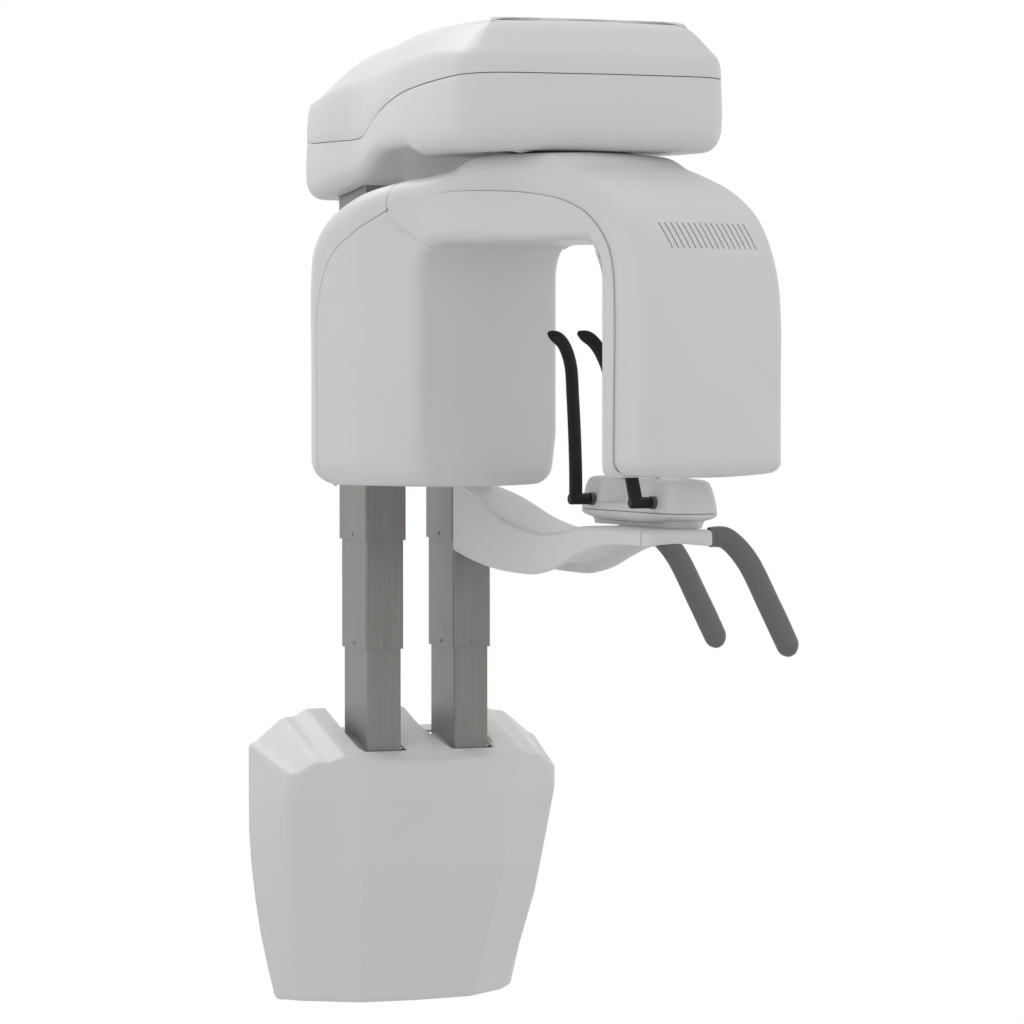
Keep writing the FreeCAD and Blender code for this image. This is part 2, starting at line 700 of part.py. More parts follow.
def build_head_frame():
    """Yoke across the columns, box-section beam, rail plate and the bars that hold the covers."""
    rear_y = "column_from_wall + inner_depth / 2 + 2 * (tube_wall + tube_gap) + fit_gap"
    yoke = block("yoke_plate", ("2 * beam_half + 100", "beam_half + 120", "8"),
                 ("-beam_half - 50", "-(%s) - 72" % rear_y, "outer_top"))
    keep(yoke, "column_yoke")
    outer = block("beam_outside", ("2 * beam_half", "beam_front - (%s)" % rear_y, "beam_height"),
                  ("-beam_half", "-beam_front", "outer_top - beam_height"))
    inner = block("beam_inside",
                  ("2 * (beam_half - beam_wall)", "beam_front - (%s) + 2" % rear_y,
                   "beam_height - 2 * beam_wall"),
                  ("-beam_half + beam_wall", "-beam_front - 1", "outer_top - beam_height + beam_wall"))
    keep(cut("beam_section", outer, [inner]), "head_beam")
    under = "outer_top - beam_height"
    plate = block("rail_plate_blank", ("2 * rail_half_length + 16", "2 * rail_half_spacing + 32", "8"),
                  ("-rail_half_length - 8", "-axis_from_wall - rail_half_spacing - 16", under + " - 8"))
    relief = block("rail_plate_relief", ("rail_half_length", "2 * rail_half_spacing - 34", "12"),
                   ("beam_half + 2", "-axis_from_wall - rail_half_spacing + 17", under + " - 10"))
    keep(cut("rail_plate_cut", plate, [relief]), "rail_plate")
    bars = []
    for tag, station in (("rear", 295.0), ("front", 465.0)):
        entry = [row for row in housing_stations() if row[0] == station][0]
        reach = entry[1] - size("shell") - size("fit_gap")
        corner = Vec(-reach, -station - 12, size("outer_top") - size("beam_height") - 10)
        bar = Part.makeBox(2 * reach, 12, 10, corner)
        bars.append(fixed_shape("cover_bracket_" + tag, bar))
    keep(group("cover_bracket_pair", bars), "cover_brackets")


def build_control_board():
    top = "outer_top"
    pieces = [block("control_card", ("100", "150", "1.6"), ("-50", "-430", top + " + 6"))]
    for index, (x, y) in enumerate(((-44, -424), (44, -424), (-44, -286), (44, -286))):
        pieces.append(rod("control_post_%d" % index, "3", "6.5", (str(x), str(y), top)))
    chips = ((-30, -380, 34, 34, 4), (15, -390, 20, 40, 9), (-35, -330, 26, 20, 12), (10, -325, 26, 26, 6))
    for index, (x, y, width, depth, height) in enumerate(chips):
        pieces.append(block("control_chip_%d" % index, (str(width), str(depth), str(height)),
                            (str(x), str(y), top + " + 7.6")))
    keep(join("control_board_unit", pieces), "control_board")


# --- rotation carriage ----------------------------------------------------------------------

def build_carriage():
    """Rails, blocks and plate that let the rotation axis travel, and the drive on the plate."""
    rail_top = "outer_top - beam_height - 8"
    plate_low = "housing_under + 13"
    plate_high = "housing_under + 13 + carriage_thickness"
    rails = []
    for tag, sign in (("rear", "+"), ("front", "-")):
        y = "-axis_from_wall %s rail_half_spacing - rail_width / 2" % sign
        rails.append(block("guide_rail_" + tag, ("2 * rail_half_length", "rail_width", "rail_height"),
                           ("-rail_half_length", y, rail_top + " - rail_height")))
    keep(group("guide_rail_pair", rails), "guide_rails")
    blank = block("carriage_blank", ("220", "2 * rail_half_spacing + 28", "carriage_thickness"),
                  ("-85", "-axis_from_wall - rail_half_spacing - 14", plate_low))
    through = ("-axis_from_wall", plate_low + " - 1")
    bore = rod("carriage_bore", "bearing_outer", "carriage_thickness + 2", ("0",) + through)
    shaft_hole = rod("carriage_shaft_hole", "8", "carriage_thickness + 2", ("motor_offset",) + through)
    plate = cut("carriage_cut", blank, [bore, shaft_hole])
    ear = block("carriage_ear", ("10", "16", "12"), ("-85", "-axis_from_wall - 8", plate_high))
    keep(join("carriage_unit", [plate, ear]), "carriage_plate")
    blocks = []
    for x in (-60, 60):
        for tag, sign in (("rear", "+"), ("front", "-")):
            name = "rail_block_%s_%d" % (tag, x + 60)
            y = "-axis_from_wall %s rail_half_spacing" % sign
            solid = block(name + "_blank", ("30", "rail_width + 12", "13"),
                          ("%d - 15" % x, y + " - rail_width / 2 - 6", plate_high))
            slot = block(name + "_slot", ("32", "rail_width + 2 * fit_gap", "12"),
                         ("%d - 16" % x, y + " - rail_width / 2 - fit_gap",
                          rail_top + " - rail_height - fit_gap"))
            blocks.append(cut(name, solid, [slot]))
    keep(group("rail_block_set", blocks), "rail_blocks")
    ring = disc_body("bearing_outer_body", ("bearing_outer", "bearing_split"), plate_low,
                     "carriage_thickness", "0", "-axis_from_wall")
    keep(ring, "bearing_outer_ring")
    case = block("actuator_case", ("45", "36", "27"),
                 ("-rail_half_length - 53", "-axis_from_wall - 18", rail_top + " - 21"))
    bore = rod("actuator_bore", "4 + fit_gap", "44", ("-rail_half_length - 51", "-axis_from_wall",
               plate_high + " + 6"), "x")
    keep(cut("travel_actuator_cut", case, [bore]), "travel_actuator")
    bar = rod("actuator_rod_bar", "4", "57", ("-142", "-axis_from_wall", plate_high + " + 6"), "x")
    keep(bar, "actuator_rod")


def belt_face(big, small, distance):
    """The flat outline of a belt stretched round two pulleys, the big one at the origin."""
    angle = math.acos((big - small) / distance)
    up = Vec(math.cos(angle), math.sin(angle), 0)
    down = Vec(math.cos(angle), -math.sin(angle), 0)
    far = Vec(distance, 0, 0)
    edges = [
        Part.Arc(up * big, Vec(-big, 0, 0), down * big).toShape(),
        Part.makeLine(down * big, far + down * small),
        Part.Arc(far + down * small, far + Vec(small, 0, 0), far + up * small).toShape(),
        Part.makeLine(far + up * small, up * big),
    ]
    return Part.Face(Part.Wire(edges))


def build_rotation_drive():
    """Motor, its pulley, the belt and the large pulley on the hub."""
    low = "housing_under + 5"
    plate_high = "housing_under + 13 + carriage_thickness"
    case = block("rotation_motor_case", ("42", "42", "52"),
                 ("motor_offset - 21", "-axis_from_wall - 21", plate_high))
    bore = rod("rotation_motor_bore", "4 + fit_gap", "13",
               ("motor_offset", "-axis_from_wall", plate_high + " - 1"))
    keep(cut("rotation_motor_cut", case, [bore]), "rotation_motor")
    at = ("motor_offset", "-axis_from_wall")
    pulley = join("motor_pulley_unit", [
        rod("motor_pulley_core", "motor_pulley_radius", "7", at + (low,)),
        rod("motor_pulley_rim_low", "motor_pulley_radius + 2.5", "1", at + (low,)),
        rod("motor_pulley_rim_high", "motor_pulley_radius + 2.5", "1", at + (low + " + 6",)),
        rod("motor_pulley_shaft", "4", "25", at + (low,)),
    ])
    keep(pulley, "motor_pulley")
    gap = size("fit_gap")
    thick = size("belt_thickness")
    inside = belt_face(size("pulley_radius") + gap, size("motor_pulley_radius") + gap, size("motor_offset"))
    outside = belt_face(size("pulley_radius") + gap + thick, size("motor_pulley_radius") + gap + thick,
                        size("motor_offset"))
    belt = outside.cut(inside).extrude(Vec(0, 0, 4.4))
    belt.translate(Vec(0, -size("axis_from_wall"), size("housing_under") + 6.3))
    keep(fixed_shape("drive_belt_loop", belt), "drive_belt")


# --- C-arm ----------------------------------------------------------------------------------

def build_hub():
    low = "arm_crown - 22"
    plate_low = "housing_under + 13"
    at = ("0", "-axis_from_wall")
    shaft = join("hub_solid", [
        rod("hub_flange", "hub_radius + 20", "6", at + (low,)),
        rod("hub_tube", "hub_radius", "%s + carriage_thickness + 1 - (%s)" % (plate_low, low), at + (low,)),
        rod("hub_nut", "hub_radius + 5", "5", at + (plate_low + " + carriage_thickness",)),
    ])
    bore = rod("hub_bore_cut", "hub_bore", "80", at + (low + " - 1",))
    keep(cut("hub_cut", shaft, [bore]), "hub_shaft")
    ring = disc_body("bearing_inner_body", ("bearing_split - fit_gap", "hub_radius"), plate_low,
                     "carriage_thickness", "0", "-axis_from_wall")
    keep(ring, "bearing_inner_ring")
    core = disc_body("arm_pulley_core", ("pulley_radius", "hub_radius"), "housing_under + 5", "7", "0",
                     "-axis_from_wall")
    rims = []
    for tag, z in (("low", "housing_under + 5"), ("high", "housing_under + 11")):
        rims.append(disc_body("arm_pulley_rim_" + tag, ("pulley_radius + 3", "hub_radius"), z, "1", "0",
                              "-axis_from_wall"))
    boss = disc_body("arm_pulley_boss", ("hub_radius + 6", "hub_radius"), "housing_under + 11", "2", "0",
                     "-axis_from_wall")
    keep(join("arm_pulley_unit", [core, boss] + rims), "arm_pulley")


ARC_MIDDLE = 1.0 - math.sqrt(0.5)


def arc_through(first, middle, last):
    return Part.Arc(first, middle, last).toShape()


def flat(points):
    return [Vec(x, 0, z) for x, z in points]


def chain(points):
    return [Part.makeLine(first, last) for first, last in zip(points, points[1:])]


def arm_profile(inset):
    """The C-arm seen square to its plane: the inverted U, drawn in by the inset."""
    crown = size("arm_crown") - inset
    ceiling = size("arm_ceiling") + inset
    tube_out = -size("tube_outer") + inset
    tube_in = -size("tube_inner") - inset
    tube_low = size("tube_bottom") + inset
    sensor_in = size("sensor_inner") + inset
    sensor_out = size("sensor_outer") - inset
    sensor_low = size("sensor_bottom") + inset
    foot = 60.0 - inset
    small = 45.0 + inset
    bend = ARC_MIDDLE * small
    left_top = flat([(tube_out, crown - 150), (tube_out + 8, crown - 112), (tube_out + 36, crown - 78),
                     (tube_out + 85, crown - 52), (tube_out + 150, crown - 34), (-113, crown - 18)])
    right_top = flat([(113, crown - 19), (150, crown - 30), (200, crown - 48), (sensor_out - 44, crown - 80),
                      (sensor_out - 22, crown - 116), (sensor_out - 6, crown - 160),
                       (sensor_out, crown - 210)])
    shoulder_left = Part.BSplineCurve()
    shoulder_left.interpolate(left_top)
    shoulder_right = Part.BSplineCurve()
    shoulder_right.interpolate(right_top)
    flat_left, flat_right = flat([(-70, crown), (70, crown)])
    foot_side, foot_middle, foot_low = flat([(tube_out, tube_low + foot), (tube_out + foot * ARC_MIDDLE,
                                             tube_low + foot * ARC_MIDDLE), (tube_out + foot, tube_low)])
    edges = chain([foot_side, left_top[0]]) + [shoulder_left.toShape()]
    edges += chain([left_top[-1], flat_left, flat_right, right_top[0]]) + [shoulder_right.toShape()]
    walk = flat([(sensor_out, crown - 210), (sensor_out, sensor_low), (sensor_in, sensor_low),
                 (sensor_in, ceiling - small)])
    roof = flat([(sensor_in - small, ceiling), (tube_in + small, ceiling)])
    tube_side = flat([(tube_in, ceiling - small), (tube_in, tube_low)])
    edges += chain(walk)
    edges.append(arc_through(walk[-1], flat([(sensor_in - bend, ceiling - bend)])[0], roof[0]))
    edges += chain(roof)
    edges.append(arc_through(roof[1], flat([(tube_in + bend, ceiling - bend)])[0], tube_side[0]))
    edges += chain(tube_side + [foot_low])
    edges.append(arc_through(foot_low, foot_middle, foot_side))
    return Part.Face(Part.Wire(Part.__sortEdges__(edges)))


def arm_plan(inset):
    """The C-arm seen from above: wide chamfered tube leg, narrower crown and sensor leg."""
    half = size("tube_half") - inset
    inner_half = size("tube_inner_half") - inset
    sensor_half = size("sensor_half") - inset
    out = size("tube_outer") - inset
    near = [(-out + 40, -half), (-255, -half), (-size("tube_inner") + inset * 0.4, -inner_half),
            (size("sensor_inner") - inset * 0.4, -sensor_half + 6),
            (size("sensor_outer") - 14 - inset, -sensor_half)]
    near_points = [Vec(x, y, 0) for x, y in near]
    far_points = [Vec(x, -y, 0) for x, y in reversed(near)]
    edges = chain(near_points)
    edges.append(arc_through(near_points[-1], Vec(size("sensor_outer") - inset + 0.2, 0, 0), far_points[0]))
    edges += chain(far_points)
    edges.append(arc_through(far_points[-1], Vec(-out - 0.2, 0, 0), near_points[0]))
    return Part.Face(Part.Wire(edges))


def arm_solid(inset):
    side = arm_profile(inset)
    side = side.extrude(Vec(0, 400, 0)).translated(Vec(0, -200, 0))
    plan = arm_plan(inset).extrude(Vec(0, 0, 600)).translated(Vec(0, 0, 450))
    return side.common(plan)


def seam_lines():
    """The cover seams in the profile plane, each run a little past the outline at both ends."""
    crown = size("arm_crown")
    ceiling = size("arm_ceiling")
    junction = (-202, crown - 63)
    band = -size("tube_outer") + 38
    rear = [(-190, crown + 20), junction, (-262, crown - 82), (-310, crown - 108), (band + 8, crown - 142),
            (band, crown - 190), (band, size("tube_bottom") - 20)]
    front = [junction, (-165, crown - 84), (-135, ceiling + 8), (-135, ceiling - 20)]
    arch = [(-135, ceiling + 8), (-110, crown - 62), (8, crown - 46), (120, crown - 66), (182, crown - 110),
            (size("sensor_inner") + 25, crown - 170),
            (size("sensor_inner") + 25, size("sensor_bottom") - 20)]
    return [rear, front, arch]


def build_arm_covers():
    """Four covers, parted along the seams: rear shell, tube leg front, main cover, inner cover."""
    wall = size("shell")
    hollow = arm_solid(0).cut(arm_solid(wall))
    hub = Part.makeCylinder(size("hub_radius") + 21, 60, Vec(0, 0, size("arm_crown") - 30))
    hollow = hollow.cut(hub)
    for index in range(16):
        hollow = hollow.cut(vent_slot(index))
    regions = arm_profile(-2)
    for line in seam_lines():
        wire = Part.Wire(chain(flat(line)))
        slit = Part.Face(wire.makeOffset2D(size("seam") / 2.0, 0, False, False))
        regions = regions.cut(slit)
    samples = {
        "rear_shell": (-size("tube_outer") + 15, 700),
        "tube_front_cover": (-240, 700),
        "main_cover": (size("sensor_outer") - 20, 700),
        "inner_cover": (0, size("arm_ceiling") + 10),
    }
    for node, (x, z) in samples.items():
        face = [item for item in regions.Faces if item.isInside(Vec(x, 0, z), 0.1, True)][0]
        region = face.extrude(Vec(0, 400, 0)).translated(Vec(0, -200, 0))
        keep(fixed_shape(node + "_piece", biggest(hollow.common(region)), True), node)


def biggest(shape):
    return max(shape.Solids, key=lambda solid: solid.Volume)


def vent_slot(index):
    """One slanted ventilation slot through the outer shoulder of the sensor leg."""
    y = (index - 7.5) * 9.5
    low = Vec(size("sensor_outer") - 60, y - 1, size("arm_crown") - 118)
    slot = Part.makeBox(80, 2, 30, low)
    slot.rotate(Vec(size("sensor_outer") - 20, y, size("arm_crown") - 100), Vec(1, 0, 0), -12)
    return slot


def in_arm_frame(name, pieces, tools=None):
    """Fuse pieces drawn in the C-arm's frame, cut the tools and turn the result to its rest place."""
    solid = join(name + "_join", pieces) if len(pieces) > 1 else pieces[0]
    if tools:
        solid = cut(name + "_cut", solid, tools)
    return turn_arm_piece(group(name + "_turned", [solid]))


def build_arm_frame():
    """Cast crown beam with its hub seat, tube hanger and the ribs that carry the covers."""
    low = "arm_ceiling + 8"
    beam = block("crown_beam", ("tube_outer - 75 + sensor_inner + 10", "80", "18"),
                     ("-tube_outer + 75", "-40", low))
    seat = rod("hub_seat", "hub_radius + 20", "arm_crown - 22 - (%s)" % low, ("0", "0", low))
    hanger = block("tube_hanger", ("90", "80", "arm_ceiling + 9 - (tube_bottom + 316)"),
                       ("-305", "-40", "tube_bottom + 316"))
    rib = block("cover_rib", ("16", "2 * (sensor_half - 1.5 - shell - 1)", "18"),
                    ("20", "-(sensor_half - 1.5 - shell - 1)", low))
    bore = rod("frame_bore", "hub_bore", "120", ("0", "0", low + " - 10"))
    keep(in_arm_frame("arm_frame", [beam, seat, hanger, rib], [bore]), "arm_frame")


def build_tube_head():
    """Shielded X-ray tank, its collimator and the generator board on its side."""
    tank = block("tube_tank", ("155", "190", "250"), ("-tube_outer + 40", "-95", "tube_bottom + 66"))
    doc.recompute()
    rounded = doc.addObject("Part::Fillet", "tube_tank_rounded")
    rounded.Base = tank
    rounded.Edges = [(number, 14.0, 14.0) for number in range(1, 13)]
    keep(in_arm_frame("tube_head", [rounded]), "tube_head")
    body = block("collimator_box", ("20 - fit_gap", "60", "150"),
                     ("-tube_inner - 23", "-30", "tube_bottom + 116"))
    slit = block("collimator_slit", ("30", "6", "130"), ("-tube_inner - 28", "-3", "tube_bottom + 126"))
    keep(in_arm_frame("collimator", [body], [slit]), "collimator")
    card = block("generator_card", ("120", "1.6", "200"), ("-330", "-104.6", "tube_bottom + 90"))
    pieces = [card]
    for index, (x, z) in enumerate(((-322, 100), (-218, 100), (-322, 280), (-218, 280))):
        post = block("generator_post_%d" % index, ("6", "8.4", "6"),
                         (str(x), "-103.4", "tube_bottom + %d" % z))
        pieces.append(post)
    for index, (x, z, width, height, depth) in enumerate(((-310, 120, 40, 50, 20), (-262, 130, 36, 60, 12),
                                                        (-308, 200, 30, 44, 16), (-265, 210, 44, 40, 8))):
        pieces.append(block("generator_chip_%d" % index, (str(width), str(depth), str(height)),
                                (str(x), "-104.6 - %d" % depth, "tube_bottom + %d" % z)))
    keep(in_arm_frame("generator_board", pieces), "generator_board")


def build_sensor():
    bracket = block("sensor_plate", ("6", "100", "arm_ceiling + 8 - (sensor_bottom + 13)"),
                        ("sensor_inner + 44", "-50", "sensor_bottom + 13"))
    tab = block("sensor_tab", ("57", "80", "7"), ("sensor_inner - 7", "-40", "arm_ceiling + 1"))
    keep(in_arm_frame("sensor_bracket", [bracket, tab]), "sensor_bracket")
    panel = block("sensor_case", ("26", "150", "220"), ("sensor_inner + 18", "-75", "sensor_bottom + 18"))
    face = block("sensor_recess", ("4", "130", "200"), ("sensor_inner + 16", "-65", "sensor_bottom + 28"))
    keep(in_arm_frame("sensor_panel", [panel], [face]), "sensor_panel")


def build_arm_screws():
    """Countersunk heads that hold the inner cover on the sensor leg."""
    screws = []
    depth = 1.2
    for y in (-80, 80):
        place = Vec(size("sensor_inner") - depth, y, size("sensor_bottom") + 43)
        head = Part.makeCylinder(4.0, depth, place, Vec(1, 0, 0))
        screws.append(fixed_shape("arm_screw_%d" % (y + 80), head, True))
    keep(group("arm_screw_set", screws), "arm_screws")


# --- support arm and platform ---------------------------------------------------------------

def moving_front():
    """Wall to the front face of the moving stages."""
    return size("column_from_wall") + size("inner_depth") / 2.0 + 2 * (size("tube_wall") + size("tube_gap"))



def arm_side_face(inset, open_below):
    """The side of the support arm: distance from the wall and height."""
    top = size("arm_plate_top")
    plate = top - inset
    rear = moving_front() + 2 * size("fit_gap") - inset
    end = size("arm_end") - inset
    top_points = [(rear, plate + 45), (200, plate + 30), (290, plate + 2), (385, plate - 12),
                  (427, plate - 14),
                  (524, plate - 3), (560, plate - 1.2)]
    floor = top - 60.0 if open_below else top
    low_points = [(640, floor - 22), (571, floor - 29), (500, floor - 46), (430, floor - 66),
                  (384, floor - 72), (330, floor - 71), (230, floor - 63), (rear, floor - 48)]
    upper = Part.BSplineCurve()
    upper.interpolate([Vec(0, -y, z) for y, z in top_points])
    lower = Part.BSplineCurve()
    lower.interpolate([Vec(0, -y, z) for y, z in low_points])
    edges = [upper.toShape()]
    edges += chain([Vec(0, -560, plate - 1.2), Vec(0, -605, plate), Vec(0, -end, plate),
                    Vec(0, -end, floor - 22), Vec(0, -640, floor - 22)])
    edges.append(lower.toShape())
    edges.append(Part.makeLine(Vec(0, -rear, floor - 48), Vec(0, -rear, plate + 45)))
    return Part.Face(Part.Wire(edges))


def arm_plan_face(inset):
    left = size("arm_left") + inset
    root = size("arm_right") - inset
    right = size("arm_front_right") - inset
    end = size("arm_end") - inset
    rear = moving_front() + 2 * size("fit_gap") - inset
    points = [(left, rear), (left, end), (right, end), (right, 330), (root + 11, 200), (root, rear)]
    ring = [Vec(x, -y, 0) for x, y in points]
    return Part.Face(Part.makePolygon(ring + [ring[0]]))


def support_solid(inset, open_below=False):
    side = arm_side_face(inset, open_below).extrude(Vec(200, 0, 0))
    plan = arm_plan_face(inset).extrude(Vec(0, 0, 400)).translated(Vec(0, 0, 300))
    return side.common(plan)


def build_support_arm():
    """Moulded arm shell, open below, over a welded steel bar that is bolted to the right column."""
    wall = size("shell") + 1
    shell = support_solid(0).cut(support_solid(wall, True))
    end = size("arm_end")
    split = -end + 28
    slit = Part.makeBox(200, size("seam"), 200, Vec(0, split, 400))
    front = Part.makeBox(200, 100, 200, Vec(0, split - 100, 400))
    keep(fixed_shape("arm_shell_piece", biggest(shell.cut(slit).cut(front))), "arm_shell")
    keep(fixed_shape("arm_end_piece", biggest(shell.common(front))), "arm_end_cap")
    column_front = moving_front()
    flange = upright_block(size("column_spacing") / 2.0, -column_front - 5.0, 52, 10, 442, 518)
    plate = size("arm_plate_top")
    front_end = size("arm_end") - 33
    wedge = [(column_front + 2, plate - 34), (column_front + 2, plate + 20), (300, plate - 18),
             (430, plate - 26), (560, plate - 9), (front_end, plate - 9), (front_end, plate - 17),
             (560, plate - 17), (430, plate - 46), (300, plate - 42)]
    ring = [Vec(0, -y, z) for y, z in wedge]
    bar = Part.Face(Part.makePolygon(ring + [ring[0]])).extrude(Vec(24, 0, 0))
    bar.translate(Vec(size("column_spacing") / 2.0 - 12, 0, 0))
    shape = flange.fuse(bar).removeSplitter()
    rest_block = upright_block(size("column_spacing") / 2.0, -664.0, 20, 112, plate - 10, plate - wall)
    keep(fixed_shape("arm_beam_weld", shape.fuse(rest_block).removeSplitter()), "arm_beam")


SCOOP_DEPTH = 22.0


def platform_outline(inset):
    """Plan of the platform: two wings with a concave scoop between them on the patient side."""
    left = size("platform_left") + inset
    right = size("platform_right") - inset
    half = size("platform_half") - inset
    axis = -size("axis_from_wall")
    corner = 12.0
    scoop = size("pivot_half") - 22 + inset
    start = Vec(left, axis - scoop, 0)
    finish = Vec(left, axis + scoop, 0)
    ring = [(left, axis - half), (right, axis - half), (right, axis + half), (left, axis + half)]
    inward = [(1, 1), (-1, 1), (-1, -1), (1, -1)]
    edges = [arc_through(finish, Vec(left + SCOOP_DEPTH, axis, 0), start)]
    last = start
    for number, ((x, y), (dx, dy)) in enumerate(zip(ring, inward)):
        side_x, side_y = Vec(x, y + dy * corner, 0), Vec(x + dx * corner, y, 0)
        first, second = (side_x, side_y) if number % 2 == 0 else (side_y, side_x)
        middle = Vec(x + dx * corner * ARC_MIDDLE, y + dy * corner * ARC_MIDDLE, 0)
        edges += [Part.makeLine(last, first), arc_through(first, middle, second)]
        last = second
    edges.append(Part.makeLine(last, finish))
    return Part.Face(Part.Wire(edges))


def slab(face, low, high):
    return face.extrude(Vec(0, 0, high - low)).translated(Vec(0, 0, low))


def build_platform():
    wall = size("shell")
    seam = size("platform_seam")
    top = size("platform_top")
    axis = -size("axis_from_wall")
    body = slab(platform_outline(0), seam + size("seam"), top)
    body = body.cut(slab(platform_outline(wall), seam - 1, top - wall))
    for sign in (-1, 1):
        hole = Part.makeCylinder(size("pivot_radius"), 30, Vec(size("platform_left") - 5,
                                 axis + sign * size("pivot_half"), size("pivot_height")), Vec(1, 0, 0))
        body = body.cut(hole)
    for y in (-26, 26):
        body = body.cut(key_block(y, size("fit_gap")))
    keep(fixed_shape("platform_body_shell", body), "platform_body")
    tray = slab(platform_outline(0), size("platform_bottom"), seam)
    tray = tray.cut(slab(platform_outline(wall), size("platform_bottom") + wall, seam + 1))
    neck = slab(platform_outline(10), size("arm_plate_top"), size("platform_bottom"))
    keep(fixed_shape("platform_tray_shell", tray.fuse(neck).removeSplitter()), "platform_tray")
    for node, y in (("key_up", 26), ("key_down", -26)):
        keep(fixed_shape(node + "_cap", key_block(y, 0)), node)


def key_block(y, grow):
    """A height key in the platform's far wall, proud of it by its travel and a little more."""
    right = size("platform_right")
    depth = size("shell") + size("key_travel") + 4
    return Part.makeBox(depth, 16 + 2 * grow, 14 + 2 * grow,
                        Vec(right - size("shell") - 2.5, -size("axis_from_wall") + y - 8 - grow,
                            size("pivot_height") - 2 - grow))


def build_temple_rods():
    """Two mirrored black rods, each on its own axle; the axle and its grey ring stay on the platform."""
    pivots = []
    axis = -size("axis_from_wall")
    z = size("pivot_height")
    for tag, sign in (("rear", 1), ("front", -1)):
        y = axis + sign * size("pivot_half")
        width = size("platform_left") - size("barrel_right") - 0.3
        ring = Part.makeCylinder(size("barrel_radius") + 1, width,
                                 Vec(size("barrel_right") + 0.3, y, z), Vec(1, 0, 0))
        axle = Part.makeCylinder(size("pivot_radius"), 46, Vec(size("barrel_left") + 8, y, z), Vec(1, 0, 0))
        pivots.append(fixed_shape("temple_pivot_" + tag, ring.fuse(axle).removeSplitter()))
        keep(fixed_shape("temple_rod_piece_" + tag, temple_rod(y, -sign)), "temple_rod_" + tag)
    keep(group("temple_pivot_pair", pivots), "temple_pivots")


STRAP_HALF_WIDTH = 9.0
STRAP_HALF_DEPTH = 4.5


def temple_rod(y, lean):
    """Barrel and curved strap of one rod; lean is the way its tip goes along Y."""
    z = size("pivot_height")
    tip = size("rod_tip_height")
    rise = tip - z
    length = size("barrel_right") - size("barrel_left")
    barrel = Part.makeCylinder(size("barrel_radius"), length, Vec(size("barrel_left"), y, z), Vec(1, 0, 0))
    stations = ((0.0, 48.0), (0.18, 44.0), (0.6, 31.0), (0.83, 22.0), (0.95, 7.0), (1.0, -13.0))
    path = Part.BSplineCurve()
    path.interpolate([Vec(x, y + lean * 46.0 * share, z + rise * share) for share, x in stations])
    spine = Part.Wire([path.toShape()])
    start = path.value(path.FirstParameter)
    section = Part.Ellipse(start + Vec(STRAP_HALF_WIDTH, 0, 0), start + Vec(0, STRAP_HALF_DEPTH, 0), start)
    profile = Part.Wire([section.toShape()])
    strap = spine.makePipeShell([profile], True, True)
    end_ball = Part.makeSphere(STRAP_HALF_DEPTH - 0.1, path.value(path.LastParameter))
    bore = Part.makeCylinder(size("pivot_radius") + size("fit_gap"), 60,
                             Vec(size("barrel_left") + 7, y, z), Vec(1, 0, 0))
    return barrel.fuse(strap).fuse(end_ball).removeSplitter().cut(bore)


def build_handles():
    """Two curved grips and the dark bar that carries them from the arm's front end."""
    axis = -size("axis_from_wall")
    plate = size("arm_plate_top")
    right = size("arm_front_right")
    carrier = block("handle_carrier", ("22", "2 * handle_half + handle_width", "18"),
                    ("arm_front_right", "-axis_from_wall - handle_half - handle_width / 2",
                     "arm_plate_top - 21"))
    keep(carrier, "handle_bracket")
    for tag, sign in (("rear", 1), ("front", -1)):
        y = axis + sign * size("handle_half")
        route = [(right + 22, plate - 12), (right + 46, plate - 14), (right + 74, plate - 40),
                 (right + 110, plate - 104), (right + 143, plate - 168)]
        path = Part.BSplineCurve()
        path.interpolate([Vec(x, y, z) for x, z in route])
        start = path.value(path.FirstParameter)
        section = Part.Ellipse(start + Vec(0, 0, size("handle_width") / 2.0),
                               start + Vec(0, size("handle_depth") / 2.0, 0), start)
        profile = Part.Wire([section.toShape()])
        grip = Part.Wire([path.toShape()]).makePipeShell([profile], True, True)
        keep(fixed_shape("handle_piece_" + tag, grip), "handle_" + tag)


def build_head_screws():
    """Screws of the arm flange and of the rail plate."""
    screws = []
    column_front = moving_front()
    for x in (-19, 19):
        for z in (450, 510):
            centre = Vec(size("column_spacing") / 2.0 + x, -column_front - 10.0, z)
            head = Part.Face(hexagon(centre, 4.6)).extrude(Vec(0, -4, 0))
            screws.append(fixed_shape("head_screw_%d_%d" % (x + 19, z), head))
    keep(group("head_screw_set", screws), "head_screws")


# --- build, check and write -----------------------------------------------------------------

def build_all():
    build_columns()
    build_wall_plate()
    build_column_frame()
    build_lift_drive()
    build_base_cover()
    build_column_seals()
    build_base_contents()
    build_inlet_and_switch()
    build_emergency_stop()
    build_base_screws()
    build_housing_covers()
    build_head_frame()
    build_control_board()
    build_carriage()
    build_rotation_drive()
    build_hub()
    build_arm_covers()
    build_arm_frame()
    build_tube_head()
    build_sensor()
    build_arm_screws()
    build_support_arm()
    build_platform()
    build_temple_rods()
    build_handles()
    build_head_screws()


def check_all():
    """Stop if an object failed or a sub-part has no sound shape."""
    faults = []
    for obj in doc.Objects:
        if "Invalid" in obj.State or "Error" in obj.State:
            faults.append("%s: %s" % (obj.Name, obj.State))
    for node, obj in PARTS:
        shape = obj.Shape
        if shape.isNull() or not shape.isValid() or not shape.Solids:
            faults.append(node + ": bad shape")
    if faults:
        raise RuntimeError("\n".join(faults))


build_all()
doc.recompute()
check_all()
os.makedirs("parts", exist_ok=True)
for node, obj in PARTS:
    obj.Shape.exportStep("parts/%s.step" % node)
print("wrote %d sub-parts" % len(PARTS))
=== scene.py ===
import json
import math

